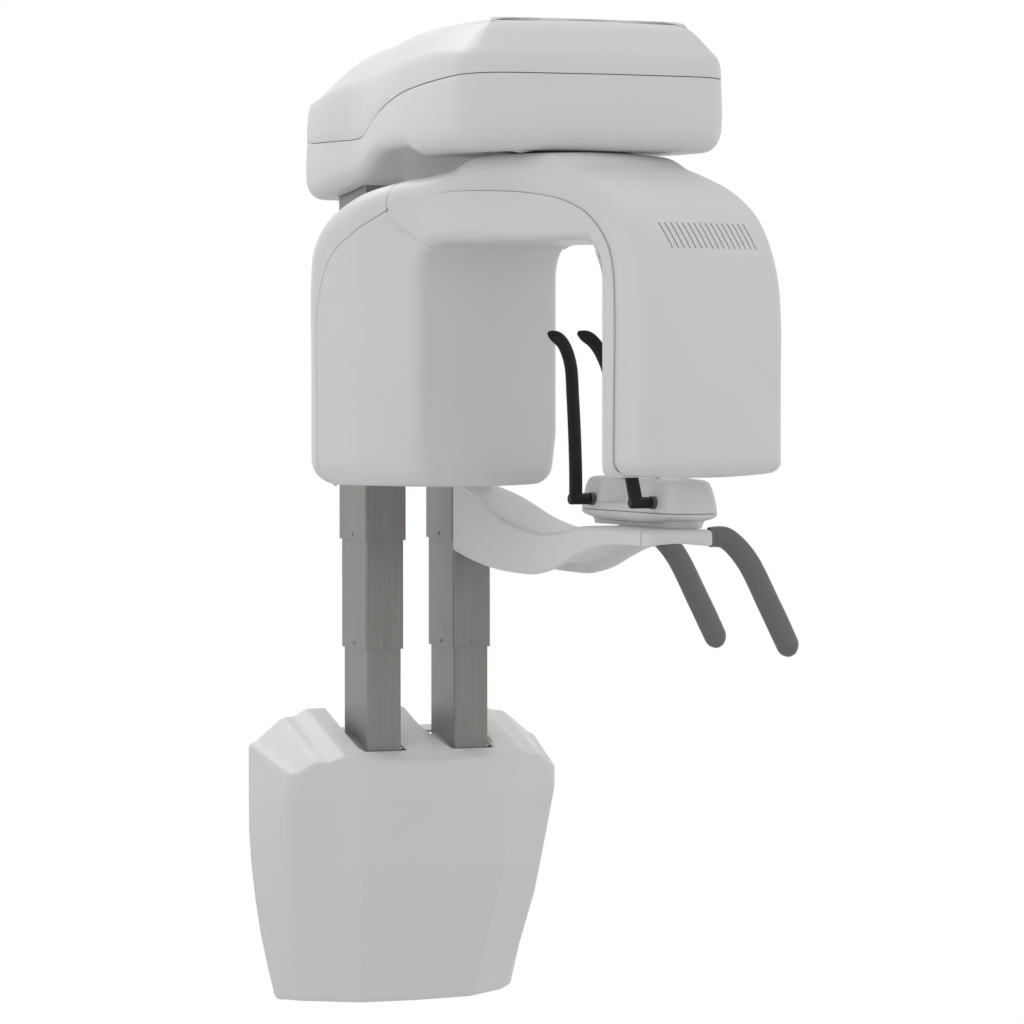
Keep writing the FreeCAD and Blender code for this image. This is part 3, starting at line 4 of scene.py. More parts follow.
import bmesh
import bpy
import numpy as np
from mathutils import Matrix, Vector


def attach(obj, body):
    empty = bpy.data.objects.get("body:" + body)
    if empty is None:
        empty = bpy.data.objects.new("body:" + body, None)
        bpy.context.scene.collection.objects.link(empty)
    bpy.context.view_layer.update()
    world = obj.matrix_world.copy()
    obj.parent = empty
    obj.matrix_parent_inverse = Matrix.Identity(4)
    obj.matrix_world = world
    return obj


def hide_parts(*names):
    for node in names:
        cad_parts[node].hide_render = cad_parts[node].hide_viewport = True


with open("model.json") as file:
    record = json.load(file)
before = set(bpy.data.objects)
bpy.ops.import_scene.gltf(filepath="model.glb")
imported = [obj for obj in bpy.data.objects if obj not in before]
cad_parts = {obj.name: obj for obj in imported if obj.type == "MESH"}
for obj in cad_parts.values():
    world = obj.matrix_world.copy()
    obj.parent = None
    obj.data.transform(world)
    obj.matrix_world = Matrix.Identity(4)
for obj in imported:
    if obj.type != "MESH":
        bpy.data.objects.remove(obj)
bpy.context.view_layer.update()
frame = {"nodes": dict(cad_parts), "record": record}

# Shapes are worked out in millimetres (+Z up, wall at Y = 0, room at -Y) and written in metres.
# A plan point is (x, distance from the wall).
MM = 0.001
nodes = frame["nodes"]

AXIS = 597.0                    # wall to the rotation axis
ARM_TURN = math.radians(16.0 - 90.0)
COLUMN_X = 66.0
COLUMN_Y = 81.0
SHELL = 3.0                     # wall of the large covers
ROD_SPREAD = 92.0               # rotation axis to each temple rod's axle
AXLE_HEIGHT = 517.5
SHARP_ANGLE = 40.0              # degrees


# --- curves ---------------------------------------------------------------------------------

def resample(points, count):
    """A polyline at equal steps of its length."""
    points = np.asarray(points, float)
    steps = np.linalg.norm(np.diff(points, axis=0), axis=1)
    travel = np.concatenate([[0.0], np.cumsum(steps)])
    wanted = np.linspace(0.0, travel[-1], count)
    return np.stack([np.interp(wanted, travel, points[:, k]) for k in range(points.shape[1])], axis=1)


def catmull(points, per=10):
    """A smooth curve through the points."""
    points = [np.asarray(p, float) for p in points]
    padded = [2 * points[0] - points[1]] + points + [2 * points[-1] - points[-2]]
    out = []
    for i in range(1, len(padded) - 2):
        p0, p1, p2, p3 = padded[i - 1:i + 3]
        knots = [0.0]
        for first, last in ((p0, p1), (p1, p2), (p2, p3)):
            knots.append(knots[-1] + max(np.linalg.norm(last - first), 1e-6) ** 0.5)
        t0, t1, t2, t3 = knots
        for t in np.linspace(t1, t2, per, endpoint=False):
            a1 = (t1 - t) / (t1 - t0) * p0 + (t - t0) / (t1 - t0) * p1
            a2 = (t2 - t) / (t2 - t1) * p1 + (t - t1) / (t2 - t1) * p2
            a3 = (t3 - t) / (t3 - t2) * p2 + (t - t2) / (t3 - t2) * p3
            b1 = (t2 - t) / (t2 - t0) * a1 + (t - t0) / (t2 - t0) * a2
            b2 = (t3 - t) / (t3 - t1) * a2 + (t - t1) / (t3 - t1) * a3
            out.append((t2 - t) / (t2 - t1) * b1 + (t - t1) / (t2 - t1) * b2)
    out.append(points[-1])
    return np.array(out)


def rounded(points, radii, closed=False, steps=8):
    """A polygon path with its corners rounded; a radius of 0 keeps a corner sharp."""
    points = [np.asarray(p, float) for p in points]
    count = len(points)
    out = []
    for i, corner in enumerate(points):
        radius = radii[i]
        if radius <= 0 or (not closed and i in (0, count - 1)):
            out.append(corner)
            continue
        before = points[(i - 1) % count] - corner
        after = points[(i + 1) % count] - corner
        u = before / np.linalg.norm(before)
        v = after / np.linalg.norm(after)
        angle = math.acos(max(-1.0, min(1.0, float(u @ v))))
        reach = radius / math.tan(angle / 2.0)
        start, finish = corner + u * reach, corner + v * reach
        for k in range(steps + 1):
            t = k / steps
            out.append((1 - t) ** 2 * start + 2 * t * (1 - t) * corner + t ** 2 * finish)
    return np.array(out)


def pchip(xs, ys, x):
    """Monotone smooth interpolation."""
    xs, ys = np.asarray(xs, float), np.asarray(ys, float)
    h = np.diff(xs)
    slope = np.diff(ys) / h
    m = np.zeros(len(xs))
    m[0], m[-1] = slope[0], slope[-1]
    for i in range(1, len(xs) - 1):
        if slope[i - 1] * slope[i] > 0:
            w1, w2 = 2 * h[i] + h[i - 1], h[i] + 2 * h[i - 1]
            m[i] = (w1 + w2) / (w1 / slope[i - 1] + w2 / slope[i])
    x = np.clip(np.asarray(x, float), xs[0], xs[-1])
    i = np.clip(np.searchsorted(xs, x, side="right") - 1, 0, len(xs) - 2)
    t = (x - xs[i]) / h[i]
    return ((2 * t ** 3 - 3 * t ** 2 + 1) * ys[i] + (t ** 3 - 2 * t ** 2 + t) * h[i] * m[i]
            + (-2 * t ** 3 + 3 * t ** 2) * ys[i + 1] + (t ** 3 - t ** 2) * h[i] * m[i + 1])


def smoothstep(x):
    x = np.clip(x, 0.0, 1.0)
    return x * x * (3 - 2 * x)


# --- meshes ---------------------------------------------------------------------------------

def make_object(name, points, faces, weld=0.02):
    mesh = bpy.data.meshes.new(name)
    mesh.from_pydata([tuple(p * MM) for p in np.asarray(points, float)], [], faces)
    work = bmesh.new()
    work.from_mesh(mesh)
    bmesh.ops.remove_doubles(work, verts=work.verts, dist=weld * MM)
    bmesh.ops.dissolve_degenerate(work, edges=work.edges, dist=weld * MM)
    bmesh.ops.recalc_face_normals(work, faces=work.faces)
    work.to_mesh(mesh)
    work.free()
    obj = bpy.data.objects.new(name, mesh)
    bpy.context.scene.collection.objects.link(obj)
    return obj


def grid_faces(rows, columns, start=0, wrap=False):
    faces = []
    for r in range(rows - 1):
        for c in range(columns if wrap else columns - 1):
            d = (c + 1) % columns
            faces.append((start + r * columns + c, start + r * columns + d,
                          start + (r + 1) * columns + d, start + (r + 1) * columns + c))
    return faces


def grid_object(name, rings, wrap=False, caps=False):
    """A surface through rings of equal point counts."""
    rings = np.asarray(rings, float)
    rows, columns = rings.shape[:2]
    faces = grid_faces(rows, columns, 0, wrap)
    if caps:
        faces.append(tuple(range(columns)))
        faces.append(tuple(reversed(range((rows - 1) * columns, rows * columns))))
    return make_object(name, rings.reshape(-1, 3), faces)


def bake(obj):
    """Apply the object's modifiers."""
    graph = bpy.context.evaluated_depsgraph_get()
    mesh = bpy.data.meshes.new_from_object(obj.evaluated_get(graph))
    obj.modifiers.clear()
    obj.data = mesh
    return obj


def thicken(obj, wall=SHELL):
    """Give an open surface its wall, inwards."""
    modifier = obj.modifiers.new("wall", "SOLIDIFY")
    modifier.thickness = wall * MM
    modifier.offset = -1.0
    modifier.use_even_offset = False
    modifier.use_quality_normals = True
    return bake(obj)


def cut(obj, cutters):
    """Take the cutters out of a closed mesh, whose front sides have to face out."""
    work = bmesh.new()
    work.from_mesh(obj.data)
    if work.calc_volume(signed=True) < 0:
        bmesh.ops.reverse_faces(work, faces=work.faces)
        work.to_mesh(obj.data)
    work.free()
    for cutter in cutters:
        modifier = obj.modifiers.new("cut", "BOOLEAN")
        modifier.operation = "DIFFERENCE"
        modifier.solver = "MANIFOLD"
        modifier.object = cutter
    bake(obj)
    for cutter in cutters:
        bpy.data.objects.remove(cutter)
    return obj


def outward(obj):
    """Make the outer side of an open surface its front side."""
    work = bmesh.new()
    work.from_mesh(obj.data)
    bmesh.ops.recalc_face_normals(work, faces=work.faces)
    centre = sum((v.co for v in work.verts), Vector()) / len(work.verts)
    vote = sum(f.normal.dot(f.calc_center_median() - centre) * f.calc_area() for f in work.faces)
    if vote < 0:
        bmesh.ops.reverse_faces(work, faces=work.faces)
    work.to_mesh(obj.data)
    work.free()
    return obj


def prism(name, outline, low, high, axis="z"):
    """A closed block from a flat outline, along Z, X or Y."""
    outline = np.asarray(outline, float)
    rings = []
    for level in (low, high):
        flat = np.zeros((len(outline), 3))
        order = {"z": (0, 1, 2), "x": (1, 2, 0), "y": (0, 2, 1)}[axis]
        flat[:, order[0]], flat[:, order[1]], flat[:, order[2]] = outline[:, 0], outline[:, 1], level
        rings.append(flat)
    return grid_object(name, rings, wrap=True, caps=True)


def circle(radius, centre=(0.0, 0.0), count=48):
    turn = np.linspace(0, 2 * math.pi, count, endpoint=False)
    return np.stack([centre[0] + radius * np.cos(turn), centre[1] + radius * np.sin(turn)], axis=1)


def rectangle(x, y, width, depth, radius=0.0):
    w, d = width / 2.0, depth / 2.0
    corners = [(x - w, y - d), (x + w, y - d), (x + w, y + d), (x - w, y + d)]
    return rounded(corners, [radius] * 4, closed=True, steps=5)


def lathe(name, profile, centre, axis, count=48):
    """A turned piece: profile of (radius, distance along the axis from the centre)."""
    axis = np.asarray(axis, float)
    side = np.array([0.0, 0.0, 1.0]) if abs(axis[2]) < 0.9 else np.array([1.0, 0.0, 0.0])
    u = np.cross(axis, side)
    u /= np.linalg.norm(u)
    v = np.cross(axis, u)
    turn = np.linspace(0, 2 * math.pi, count, endpoint=False)
    rings = []
    for radius, travel in profile:
        ring = [np.asarray(centre, float) + axis * travel + max(radius, 0.0) * (math.cos(t) * u + math.sin(t) * v)
                for t in turn]
        rings.append(ring)
    return grid_object(name, rings, wrap=True, caps=True)


def sweep(name, path, widths, depths, side, count=28, ridge=0.0):
    """A tube of changing rounded section along a path; side is the direction of its width."""
    path = np.asarray(path, float)
    side = np.asarray(side, float)
    rings = []
    turn = np.linspace(0, 2 * math.pi, count, endpoint=False)
    power = 2.0 / (2.0 + ridge)
    tangents = np.gradient(path, axis=0)
    for point, tangent, width, depth in zip(path, tangents, widths, depths):
        tangent = tangent / np.linalg.norm(tangent)
        across = np.cross(tangent, side)
        across /= np.linalg.norm(across)
        ring = []
        for t in turn:
            c, s = math.cos(t), math.sin(t)
            x = math.copysign(abs(c) ** power, c)
            y = math.copysign(abs(s) ** power, s)
            ring.append(point + side * x * width / 2.0 + across * y * depth / 2.0)
        rings.append(ring)
    return grid_object(name, rings, wrap=True, caps=True)


def finish(obj, body, material, slot, replaced=(), sharp=SHARP_ANGLE):
    """Material, shading and body of a new piece, and the design nodes that it replaces. The slot argument is not
    used.
    """
    obj.data.materials.clear()
    obj.data.materials.append(material)
    obj.data.shade_smooth()
    obj.data.set_sharp_from_angle(angle=math.radians(sharp))
    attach(obj, body)
    if replaced:
        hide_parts(*replaced)
    return obj


# --- materials ------------------------------------------------------------------------------

def new_material(name, metallic=0.0, coat=0.0, specular=0.5):
    material = bpy.data.materials.new(name)
    material.use_nodes = True
    tree = material.node_tree
    tree.nodes.clear()
    out = tree.nodes.new("ShaderNodeOutputMaterial")
    shader = tree.nodes.new("ShaderNodeBsdfPrincipled")
    tree.links.new(shader.outputs["BSDF"], out.inputs["Surface"])
    shader.inputs["Metallic"].default_value = metallic
    shader.inputs["Specular IOR Level"].default_value = specular
    shader.inputs["Coat Weight"].default_value = coat
    shader.inputs["Coat Roughness"].default_value = 0.18
    place = tree.nodes.new("ShaderNodeTexCoord")
    return material, tree, shader, place


def noise(tree, place, scale, detail=3.0, stretch=None):
    source = place.outputs["Object"]
    if stretch:
        mapping = tree.nodes.new("ShaderNodeMapping")
        mapping.inputs["Scale"].default_value = stretch
        tree.links.new(source, mapping.inputs["Vector"])
        source = mapping.outputs["Vector"]
    texture = tree.nodes.new("ShaderNodeTexNoise")
    texture.inputs["Scale"].default_value = scale
    texture.inputs["Detail"].default_value = detail
    tree.links.new(source, texture.inputs["Vector"])
    return texture.outputs["Fac"]


def ramp(tree, source, low, high, start=0.3, stop=0.7):
    """Spread a factor between two colours or two values."""
    node = tree.nodes.new("ShaderNodeValToRGB")
    node.color_ramp.elements[0].position = start
    node.color_ramp.elements[1].position = stop
    node.color_ramp.elements[0].color = tuple(low) + (1.0,)
    node.color_ramp.elements[1].color = tuple(high) + (1.0,)
    tree.links.new(source, node.inputs["Fac"])
    return node.outputs["Color"]


def spread(tree, source, low, high):
    node = tree.nodes.new("ShaderNodeMapRange")
    node.inputs["To Min"].default_value = low
    node.inputs["To Max"].default_value = high
    tree.links.new(source, node.inputs["Value"])
    return node.outputs["Result"]


def bump(tree, shader, source, strength, distance=0.0002, under=None):
    node = tree.nodes.new("ShaderNodeBump")
    node.inputs["Strength"].default_value = strength
    node.inputs["Distance"].default_value = distance
    tree.links.new(source, node.inputs["Height"])
    if under is not None:
        tree.links.new(under, node.inputs["Normal"])
    tree.links.new(node.outputs["Normal"], shader.inputs["Normal"])
    return node.outputs["Normal"]


def plastic(name, low, high, rough, grain=900.0, strength=0.12, coat=0.0, specular=0.5, patch=5.0):
    """Painted or moulded plastic: cloudy colour, fine grain, uneven gloss."""
    material, tree, shader, place = new_material(name, 0.0, coat, specular)
    cloud = noise(tree, place, patch, 4.0)
    tree.links.new(ramp(tree, cloud, low, high), shader.inputs["Base Color"])
    smear = noise(tree, place, 26.0, 5.0)
    tree.links.new(spread(tree, smear, rough - 0.05, rough + 0.07), shader.inputs["Roughness"])
    fine = noise(tree, place, grain, 2.0)
    wave = noise(tree, place, 60.0, 2.0)
    first = bump(tree, shader, wave, 0.03, 0.0004)
    bump(tree, shader, fine, strength, 0.0002, first)
    return material


def brushed(name, low, high, rough, stretch, metallic=1.0, strength=0.25):
    """Brushed or drawn metal: fine lines along one direction and faint stains."""
    material, tree, shader, place = new_material(name, metallic)
    lines = noise(tree, place, 1.0, 6.0, stretch)
    stain = noise(tree, place, 9.0, 4.0)
    colour = tree.nodes.new("ShaderNodeMix")
    colour.data_type = "RGBA"
    colour.blend_type = "MULTIPLY"
    colour.inputs["Factor"].default_value = 1.0
    tree.links.new(ramp(tree, lines, low, high, 0.25, 0.75), colour.inputs[6])
    tree.links.new(ramp(tree, stain, (0.93, 0.93, 0.92), (1.0, 1.0, 1.0)), colour.inputs[7])
    tree.links.new(colour.outputs[2], shader.inputs["Base Color"])
    tree.links.new(spread(tree, lines, rough - 0.08, rough + 0.1), shader.inputs["Roughness"])
    bump(tree, shader, lines, strength, 0.0001)
    return material


WHITE = plastic("white_cover", (0.70, 0.695, 0.695), (0.72, 0.715, 0.715), 0.42, 1500.0, 0.06, 0.08)
COLUMN = brushed("column_metal", (0.25, 0.24, 0.23), (0.31, 0.30, 0.29), 0.42, (260.0, 260.0, 5.0), 0.75)
STEEL = brushed("steel", (0.50, 0.50, 0.50), (0.62, 0.62, 0.62), 0.3, (420.0, 30.0, 420.0))
PAINTED = plastic("painted_steel", (0.20, 0.21, 0.22), (0.24, 0.25, 0.26), 0.5, 500.0, 0.2)
CAST = plastic("cast_aluminium", (0.42, 0.42, 0.41), (0.50, 0.50, 0.49), 0.55, 320.0, 0.5, 0.0, 0.6, 22.0)
BLACK = plastic("black_plastic", (0.006, 0.006, 0.007), (0.011, 0.011, 0.012), 0.46, 1300.0, 0.2, 0.0, 0.35)
RING = plastic("grey_ring", (0.055, 0.058, 0.062), (0.075, 0.078, 0.082), 0.3, 900.0, 0.1, 0.2)
GRIP = plastic("handle_grip", (0.130, 0.136, 0.128), (0.148, 0.155, 0.146), 0.38, 1100.0, 0.14, 0.12)
BOARD = plastic("board", (0.015, 0.09, 0.04), (0.03, 0.13, 0.06), 0.35, 240.0, 0.4)
BELT = plastic("belt", (0.012, 0.012, 0.012), (0.02, 0.02, 0.02), 0.7, 400.0, 0.6)
RED = plastic("stop_red", (0.50, 0.015, 0.012), (0.58, 0.022, 0.018), 0.34, 1200.0, 0.08, 0.2)
YELLOW = plastic("stop_yellow", (0.72, 0.48, 0.02), (0.80, 0.55, 0.03), 0.4, 1200.0, 0.08)
KEY = plastic("key_grey", (0.30, 0.31, 0.32), (0.34, 0.35, 0.36), 0.5, 1200.0, 0.1)
SEAL = plastic("seal", (0.010, 0.010, 0.010), (0.018, 0.018, 0.018), 0.75, 500.0, 0.5)
SLOT_MATERIALS = {
    "white_cover": WHITE, "column_metal": COLUMN, "steel": STEEL, "painted_steel": PAINTED,
    "cast_aluminium": CAST, "black_plastic": BLACK, "grey_ring": RING, "handle_grip": GRIP,
    "board": BOARD, "belt": BELT, "stop_red": RED, "stop_yellow": YELLOW, "key_grey": KEY, "seal": SEAL,
}

node_slots = {entry["node"]: entry["material_slot"] for entry in frame["record"]["subparts"]}
for name, obj in nodes.items():
    material = SLOT_MATERIALS[node_slots[name]]
    if not obj.data.materials:
        obj.data.materials.append(material)
    for index in range(len(obj.material_slots)):
        obj.material_slots[index].material = material


# --- top housing ----------------------------------------------------------------------------

HOUSING = {
    # wall distance: half width, underside, seam, shoulder, top
    "y": (0.0, 60.0, 110.0, 150.0, 185.0, 235.0, 295.0, 380.0, 465.0, 600.0, 700.0),
    "half": (131.0, 133.0, 131.0, 128.0, 129.0, 137.0, 150.0, 166.0, 178.0, 188.0, 188.0),
    "seam": (1002.0, 1002.0, 1002.0, 1002.0, 1003.0, 1014.0, 1029.0, 1044.0, 1054.0, 1062.0, 1067.0),
    "shoulder": (1056.0, 1066.0, 1073.0, 1077.0, 1079.0, 1081.0, 1083.0, 1087.0, 1092.0, 1096.0, 1092.0),
    "top": (1084.0, 1108.0, 1121.0, 1127.0, 1130.0, 1133.0, 1136.0, 1138.0, 1138.0, 1137.5, 1135.0),
}


def housing_value(key, y):
    return pchip(HOUSING["y"], HOUSING[key], y)


def housing_under(x, y):
    """Underside: low round the columns, a raised neck, then the low round field of the rotation axis."""
    along = pchip((0, 60, 150, 178, 215, 260, 320, 700), (924, 931, 945, 950, 962, 974, 980, 980), y)
    reach = np.hypot(x, y - AXIS)
    field = smoothstep((232.0 - reach) / 34.0)
    edge = smoothstep((y - 455.0) / 60.0)
    return along + (970.0 - along) * np.maximum(field, edge)


def housing_outline(count=190):
    """Plan of the housing as (x, wall distance), from the left of the wall round to the right."""
    side = [(-float(housing_value("half", y)), y) for y in np.linspace(0.6, 625.0, 60)]
    corner = rounded([side[-1], (-188.0, 694.0), (0.0, 705.0)], [0, 64.0, 0], steps=16)
    left = np.array(side[:-1] + [tuple(p) for p in corner])
    right = left[::-1][1:] * np.array([-1.0, 1.0])
    return resample(np.vstack([left, right]), count * 2 + 1)


def inset_outline(outline, distance):
    """The outline drawn in by a distance; its two ends stay on the wall."""
    tangent = np.gradient(outline, axis=0)
    tangent /= np.linalg.norm(tangent, axis=1)[:, None]
    normal = np.stack([-tangent[:, 1], tangent[:, 0]], axis=1)
    moved = outline - normal * distance
    moved[:, 1] = np.maximum(moved[:, 1], outline[:, 1] * 0.5)
    moved[0, 1], moved[-1, 1] = outline[0, 1], outline[-1, 1]
    return moved


def zipped(loop, rows=14):
    """Points across the inside of a symmetric open loop, row by row."""
    half = len(loop) // 2
    grid = []
    for i in range(half):
        left, right = loop[i], loop[-1 - i]
        grid.append([left + (right - left) * t for t in np.linspace(0, 1, rows)])
    grid.append([loop[half]] * rows)
    return np.array(grid)


def housing_half(name, profile):
    """One cover: profile is a list of (inset, height rule) from the seam to the flat."""
    outline = housing_outline()
    loops = []
    for inset, rule in profile:
        flat = inset_outline(outline, inset) if inset else outline
        loops.append(np.column_stack([flat[:, 0], flat[:, 1], rule(flat[:, 0], flat[:, 1])]))
    flat_grid = zipped(loops[-1])
    shape = flat_grid.shape
    xs, ys = flat_grid[..., 0].ravel(), flat_grid[..., 1].ravel()
    flat_grid[..., 2] = profile[-1][1](xs, ys).reshape(shape[:2])
    loops = np.array(loops)
    points = np.vstack([loops.reshape(-1, 3), flat_grid.reshape(-1, 3)])
    faces = grid_faces(loops.shape[0], loops.shape[1])
    faces += grid_faces(shape[0], shape[1], loops.shape[0] * loops.shape[1])
    back = [[loop[0] + (loop[-1] - loop[0]) * t for t in np.linspace(0, 1, shape[1])] for loop in loops]
    back[-1] = list(flat_grid[0])
    faces += grid_faces(len(back), shape[1], len(points))
    points = np.vstack([points, np.array(back).reshape(-1, 3)])
    points[:, 1] *= -1.0
    obj = outward(make_object(name, points, faces, 0.05))
    return thicken(obj)


def bezier_profile(start, corner, end, steps):
    """Steps of a quadratic curve, without its first point."""
    start, corner, end = (np.array(point) for point in (start, corner, end))
    share = [k / steps for k in range(1, steps + 1)]
    return [tuple((1 - t) ** 2 * start + 2 * t * (1 - t) * corner + t ** 2 * end) for t in share]


def build_housing():
    gap = 0.45                  # from the parting line to each cover

    def lower_rule(drop):
        """Blend from the seam (drop 0) to the underside (drop 1)."""

        def rule(x, y):
            seam = housing_value("seam", y) - gap
            return seam + (housing_under(x, y) - seam) * drop
        return rule

    steps = [(0.7, 0.0), (0.0, 0.012), (0.0, 0.12), (-1.0, 0.3), (-1.2, 0.5)]
    steps += bezier_profile((-1.0, 0.62), (1.0, 0.93), (20.0, 0.985), 8) + [(30.0, 0.997), (44.0, 1.0)]
    lower = housing_half("housing_lower_shell", [(inset, lower_rule(drop)) for inset, drop in steps])
    cutters = [prism("cut", rectangle(sign * COLUMN_X, -COLUMN_Y, 64.8, 98.8, 4.0), 800.0, 1000.0)
               for sign in (-1, 1)]
    cutters.append(prism("cut", circle(56.0, (0.0, -AXIS), 64), 900.0, 1000.0))
    cut(lower, cutters)
    finish(lower, "lift_head", WHITE, "white_cover", ["lower_cover"])

    def upper_rule(share_shoulder, share_top):
        """Share of the way up from the seam to the shoulder, and from there to the top."""

        def rule(x, y):
            seam = housing_value("seam", y) + gap
            shoulder = housing_value("shoulder", y)
            top = housing_value("top", y)
            crown = 1.6 * (1.0 - (x / 190.0) ** 2)
            return seam + (shoulder - seam) * share_shoulder + (top - shoulder + crown) * share_top
        return rule

    steps = [(0.7, 0.0, 0.0), (0.0, 0.02, 0.0), (0.0, 0.25, 0.0), (0.6, 0.5, 0.0), (2.5, 0.8, 0.0),
             (5.5, 1.0, 0.02), (10.0, 1.0, 0.13), (17.0, 1.0, 0.30), (25.0, 1.0, 0.50), (32.0, 1.0, 0.665),
             (38.0, 1.0, 0.79), (44.0, 1.0, 0.885), (50.0, 1.0, 0.95), (56.0, 1.0, 0.985), (61.0, 1.0, 1.0)]
    upper = housing_half("housing_upper_shell", [(inset, upper_rule(a, b)) for inset, a, b in steps])
    finish(upper, "lift_head", WHITE, "white_cover", ["upper_cover"])


# --- C-arm ----------------------------------------------------------------------------------

CEILING = 857.0
JUNCTION = (-215.0, 898.0)
TUBE_SEAM_FOOT = (-347.0, 534.0)
SENSOR_SEAM_FOOT = (212.0, 557.0)
VENTS = 16
VENT_PITCH = 9.55


def to_room(a, w, z):
    """From the C-arm's own frame to the room at rest."""
    x = a * math.cos(ARM_TURN) - w * math.sin(ARM_TURN)
    y = a * math.sin(ARM_TURN) + w * math.cos(ARM_TURN) - AXIS
    return np.stack([x, y, z], axis=-1)


def arm_half_width(a):
    total = 0.0
    for shift in (-14, -7, 0, 7, 14):
        total = total + np.interp(np.asarray(a) + shift, (-385, -262, -172, 187, 271, 285),
                                  (149, 150, 123, 113, 118, 118))
    return total / 5.0


def outer_profile():
    """Outer outline from the tube leg's seam foot, over the crown, to the sensor leg's seam foot."""
    foot = rounded([TUBE_SEAM_FOOT, (-385.0, 534.0), (-385.0, 700.0)], [0, 40.0, 0], steps=12)
    # the foot's corner is larger than its run allows, so the run starts a little inside
    foot = np.array([TUBE_SEAM_FOOT] + [tuple(p) for p in foot[1:] if p[0] < TUBE_SEAM_FOOT[0] - 0.5])
    left = catmull([(-385, 700), (-385, 812), (-377, 854), (-350, 889), (-301, 915), (-235, 933), (-165, 943),
                    (-113, 950)], 12)
    middle = catmull([(-113, 950), (-82, 963), (-60, 966), (60, 966), (82, 963), (113, 949)], 6)
    right = catmull([(113, 949), (155, 936), (200, 918), (241, 887), (264, 850), (279, 806), (285, 752), (285, 680)],
                    12)
    end = rounded([(285, 680), (285, 557), SENSOR_SEAM_FOOT], [0, 22.0, 0], steps=10)
    return np.vstack([foot, left[1:], middle[1:], right[1:], end[1:]])


def inner_profile():
    """Inner outline from the tube leg's seam foot, through the opening, to the sensor leg's seam foot."""
    return rounded([TUBE_SEAM_FOOT, (-167.0, 534.0), (-167.0, CEILING), (187.0, CEILING), (187.0, 557.0),
                    SENSOR_SEAM_FOOT], [0, 26.0, 52.0, 52.0, 9.0, 0], steps=14)


def split_at(curve, place):
    index = int(np.argmin(np.linalg.norm(curve - np.asarray(place, float), axis=1)))
    return curve[:index + 1], curve[index:]


OUTER = resample(outer_profile(), 700)
INNER = resample(inner_profile(), 600)
OUTER_RADIUS = np.interp(OUTER[:, 0], (-385, -250, -120, 120, 285), (38, 36, 26, 22, 24))
OUTER_RADIUS = np.where(OUTER[:, 1] < 575, np.where(OUTER[:, 0] < 0, 38.0, 20.0), OUTER_RADIUS)
INNER_RADIUS = np.where(INNER[:, 0] < 0, 15.0, 10.0)
foot_zone = (INNER[:, 0] < -100) & (INNER[:, 1] < 600)
INNER_RADIUS = np.where(foot_zone, np.interp(INNER[:, 1], (534, 600), (34, 15)), INNER_RADIUS)


def fillet(distance, radius):
    inside = np.clip(radius - distance, 0.0, None)
    return radius - np.sqrt(np.clip(radius ** 2 - inside ** 2, 0.0, None))


def arm_width_at(points):
    """Half width of the C-arm at places of its profile, with the rounding of every edge."""
    flat = points.reshape(-1, 2)
    drop = np.zeros(len(flat))
    for curve, radii in ((OUTER, OUTER_RADIUS), (INNER, INNER_RADIUS)):
        start, run = curve[:-1], np.diff(curve, axis=0)
        length = np.sum(run ** 2, axis=1)
        radius = (radii[:-1] + radii[1:]) / 2.0
        for block in range(0, len(flat), 1500):
            part = flat[block:block + 1500]
            away = part[:, None, :] - start[None]
            t = np.clip(np.sum(away * run[None], axis=2) / length[None], 0.0, 1.0)
            gap = np.linalg.norm(away - run[None] * t[..., None], axis=2)
            drop[block:block + 1500] = np.maximum(drop[block:block + 1500], fillet(gap, radius[None]).max(axis=1))
    return (arm_half_width(flat[:, 0]) - drop).reshape(points.shape[:-1])


def arm_cover(name, seam, edge, bulge, stations, node, round_to=26.0):
    """One cover: its sides run from the seam to the outline edge, and a band joins them."""
    trim = 0.0011
    seam = resample(seam, 900)
    edge = resample(edge, 900)
    places = np.unique(np.concatenate([
        np.linspace(trim, 0.06, 9), np.linspace(0.06, 0.94, stations), np.linspace(0.94, 1 - trim, 9)]))
    take = places * 899.0
    index = np.arange(900)
    base = np.stack([np.interp(take, index, seam[:, k]) for k in (0, 1)], axis=1)
    rim = np.stack([np.interp(take, index, edge[:, k]) for k in (0, 1)], axis=1)
    slope = np.gradient(edge, axis=0)
    slope /= np.linalg.norm(slope, axis=1)[:, None]
    slope = np.stack([np.interp(take, index, slope[:, k]) for k in (0, 1)], axis=1)
    normal = np.stack([slope[:, 1], -slope[:, 0]], axis=1)
    centre = (base + rim) / 2.0
    sign = np.sign(np.sum(normal * (rim - centre), axis=1).sum())
    normal *= sign
    span = np.linalg.norm(rim - base, axis=1)
    arc = [round_to * (1 - math.sin(t)) for t in np.linspace(0.0, math.pi / 2.0, 9)]
    side = []
    for i in range(len(places)):
        reach = min(round_to, span[i] * 0.92)
        curve_part = [1.0 - d / max(span[i], 1e-6) * (reach / round_to) for d in arc]
        first = min(0.45 / max(span[i], 0.5), 0.3)
        flat_part = list(np.linspace(first, curve_part[0], 9)[:-1])
        side.append(flat_part + curve_part)
    side = np.array(side)
    spot = base[:, None, :] + (rim - base)[:, None, :] * side[..., None]
    width = arm_width_at(spot)
    near = to_room(spot[..., 0], -width, spot[..., 1])
    far = to_room(spot[..., 0], width, spot[..., 1])[:, ::-1]
    edge_width = width[:, -1]
    across = np.linspace(-1, 1, 19)[1:-1]
    lift = bulge * np.clip(span / 40.0, 0.0, 1.0)
    band = []
    for t in across:
        out = rim + normal * (lift * (1 - t * t))[:, None]
        band.append(to_room(out[:, 0], edge_width * t, out[:, 1]))
    band = np.array(band).transpose(1, 0, 2)
    rings = np.concatenate([near, band, far], axis=1)
    obj = outward(grid_object(name, rings))
    thicken(obj)
    finish(obj, "c_arm", WHITE, "white_cover", [node])
    return obj


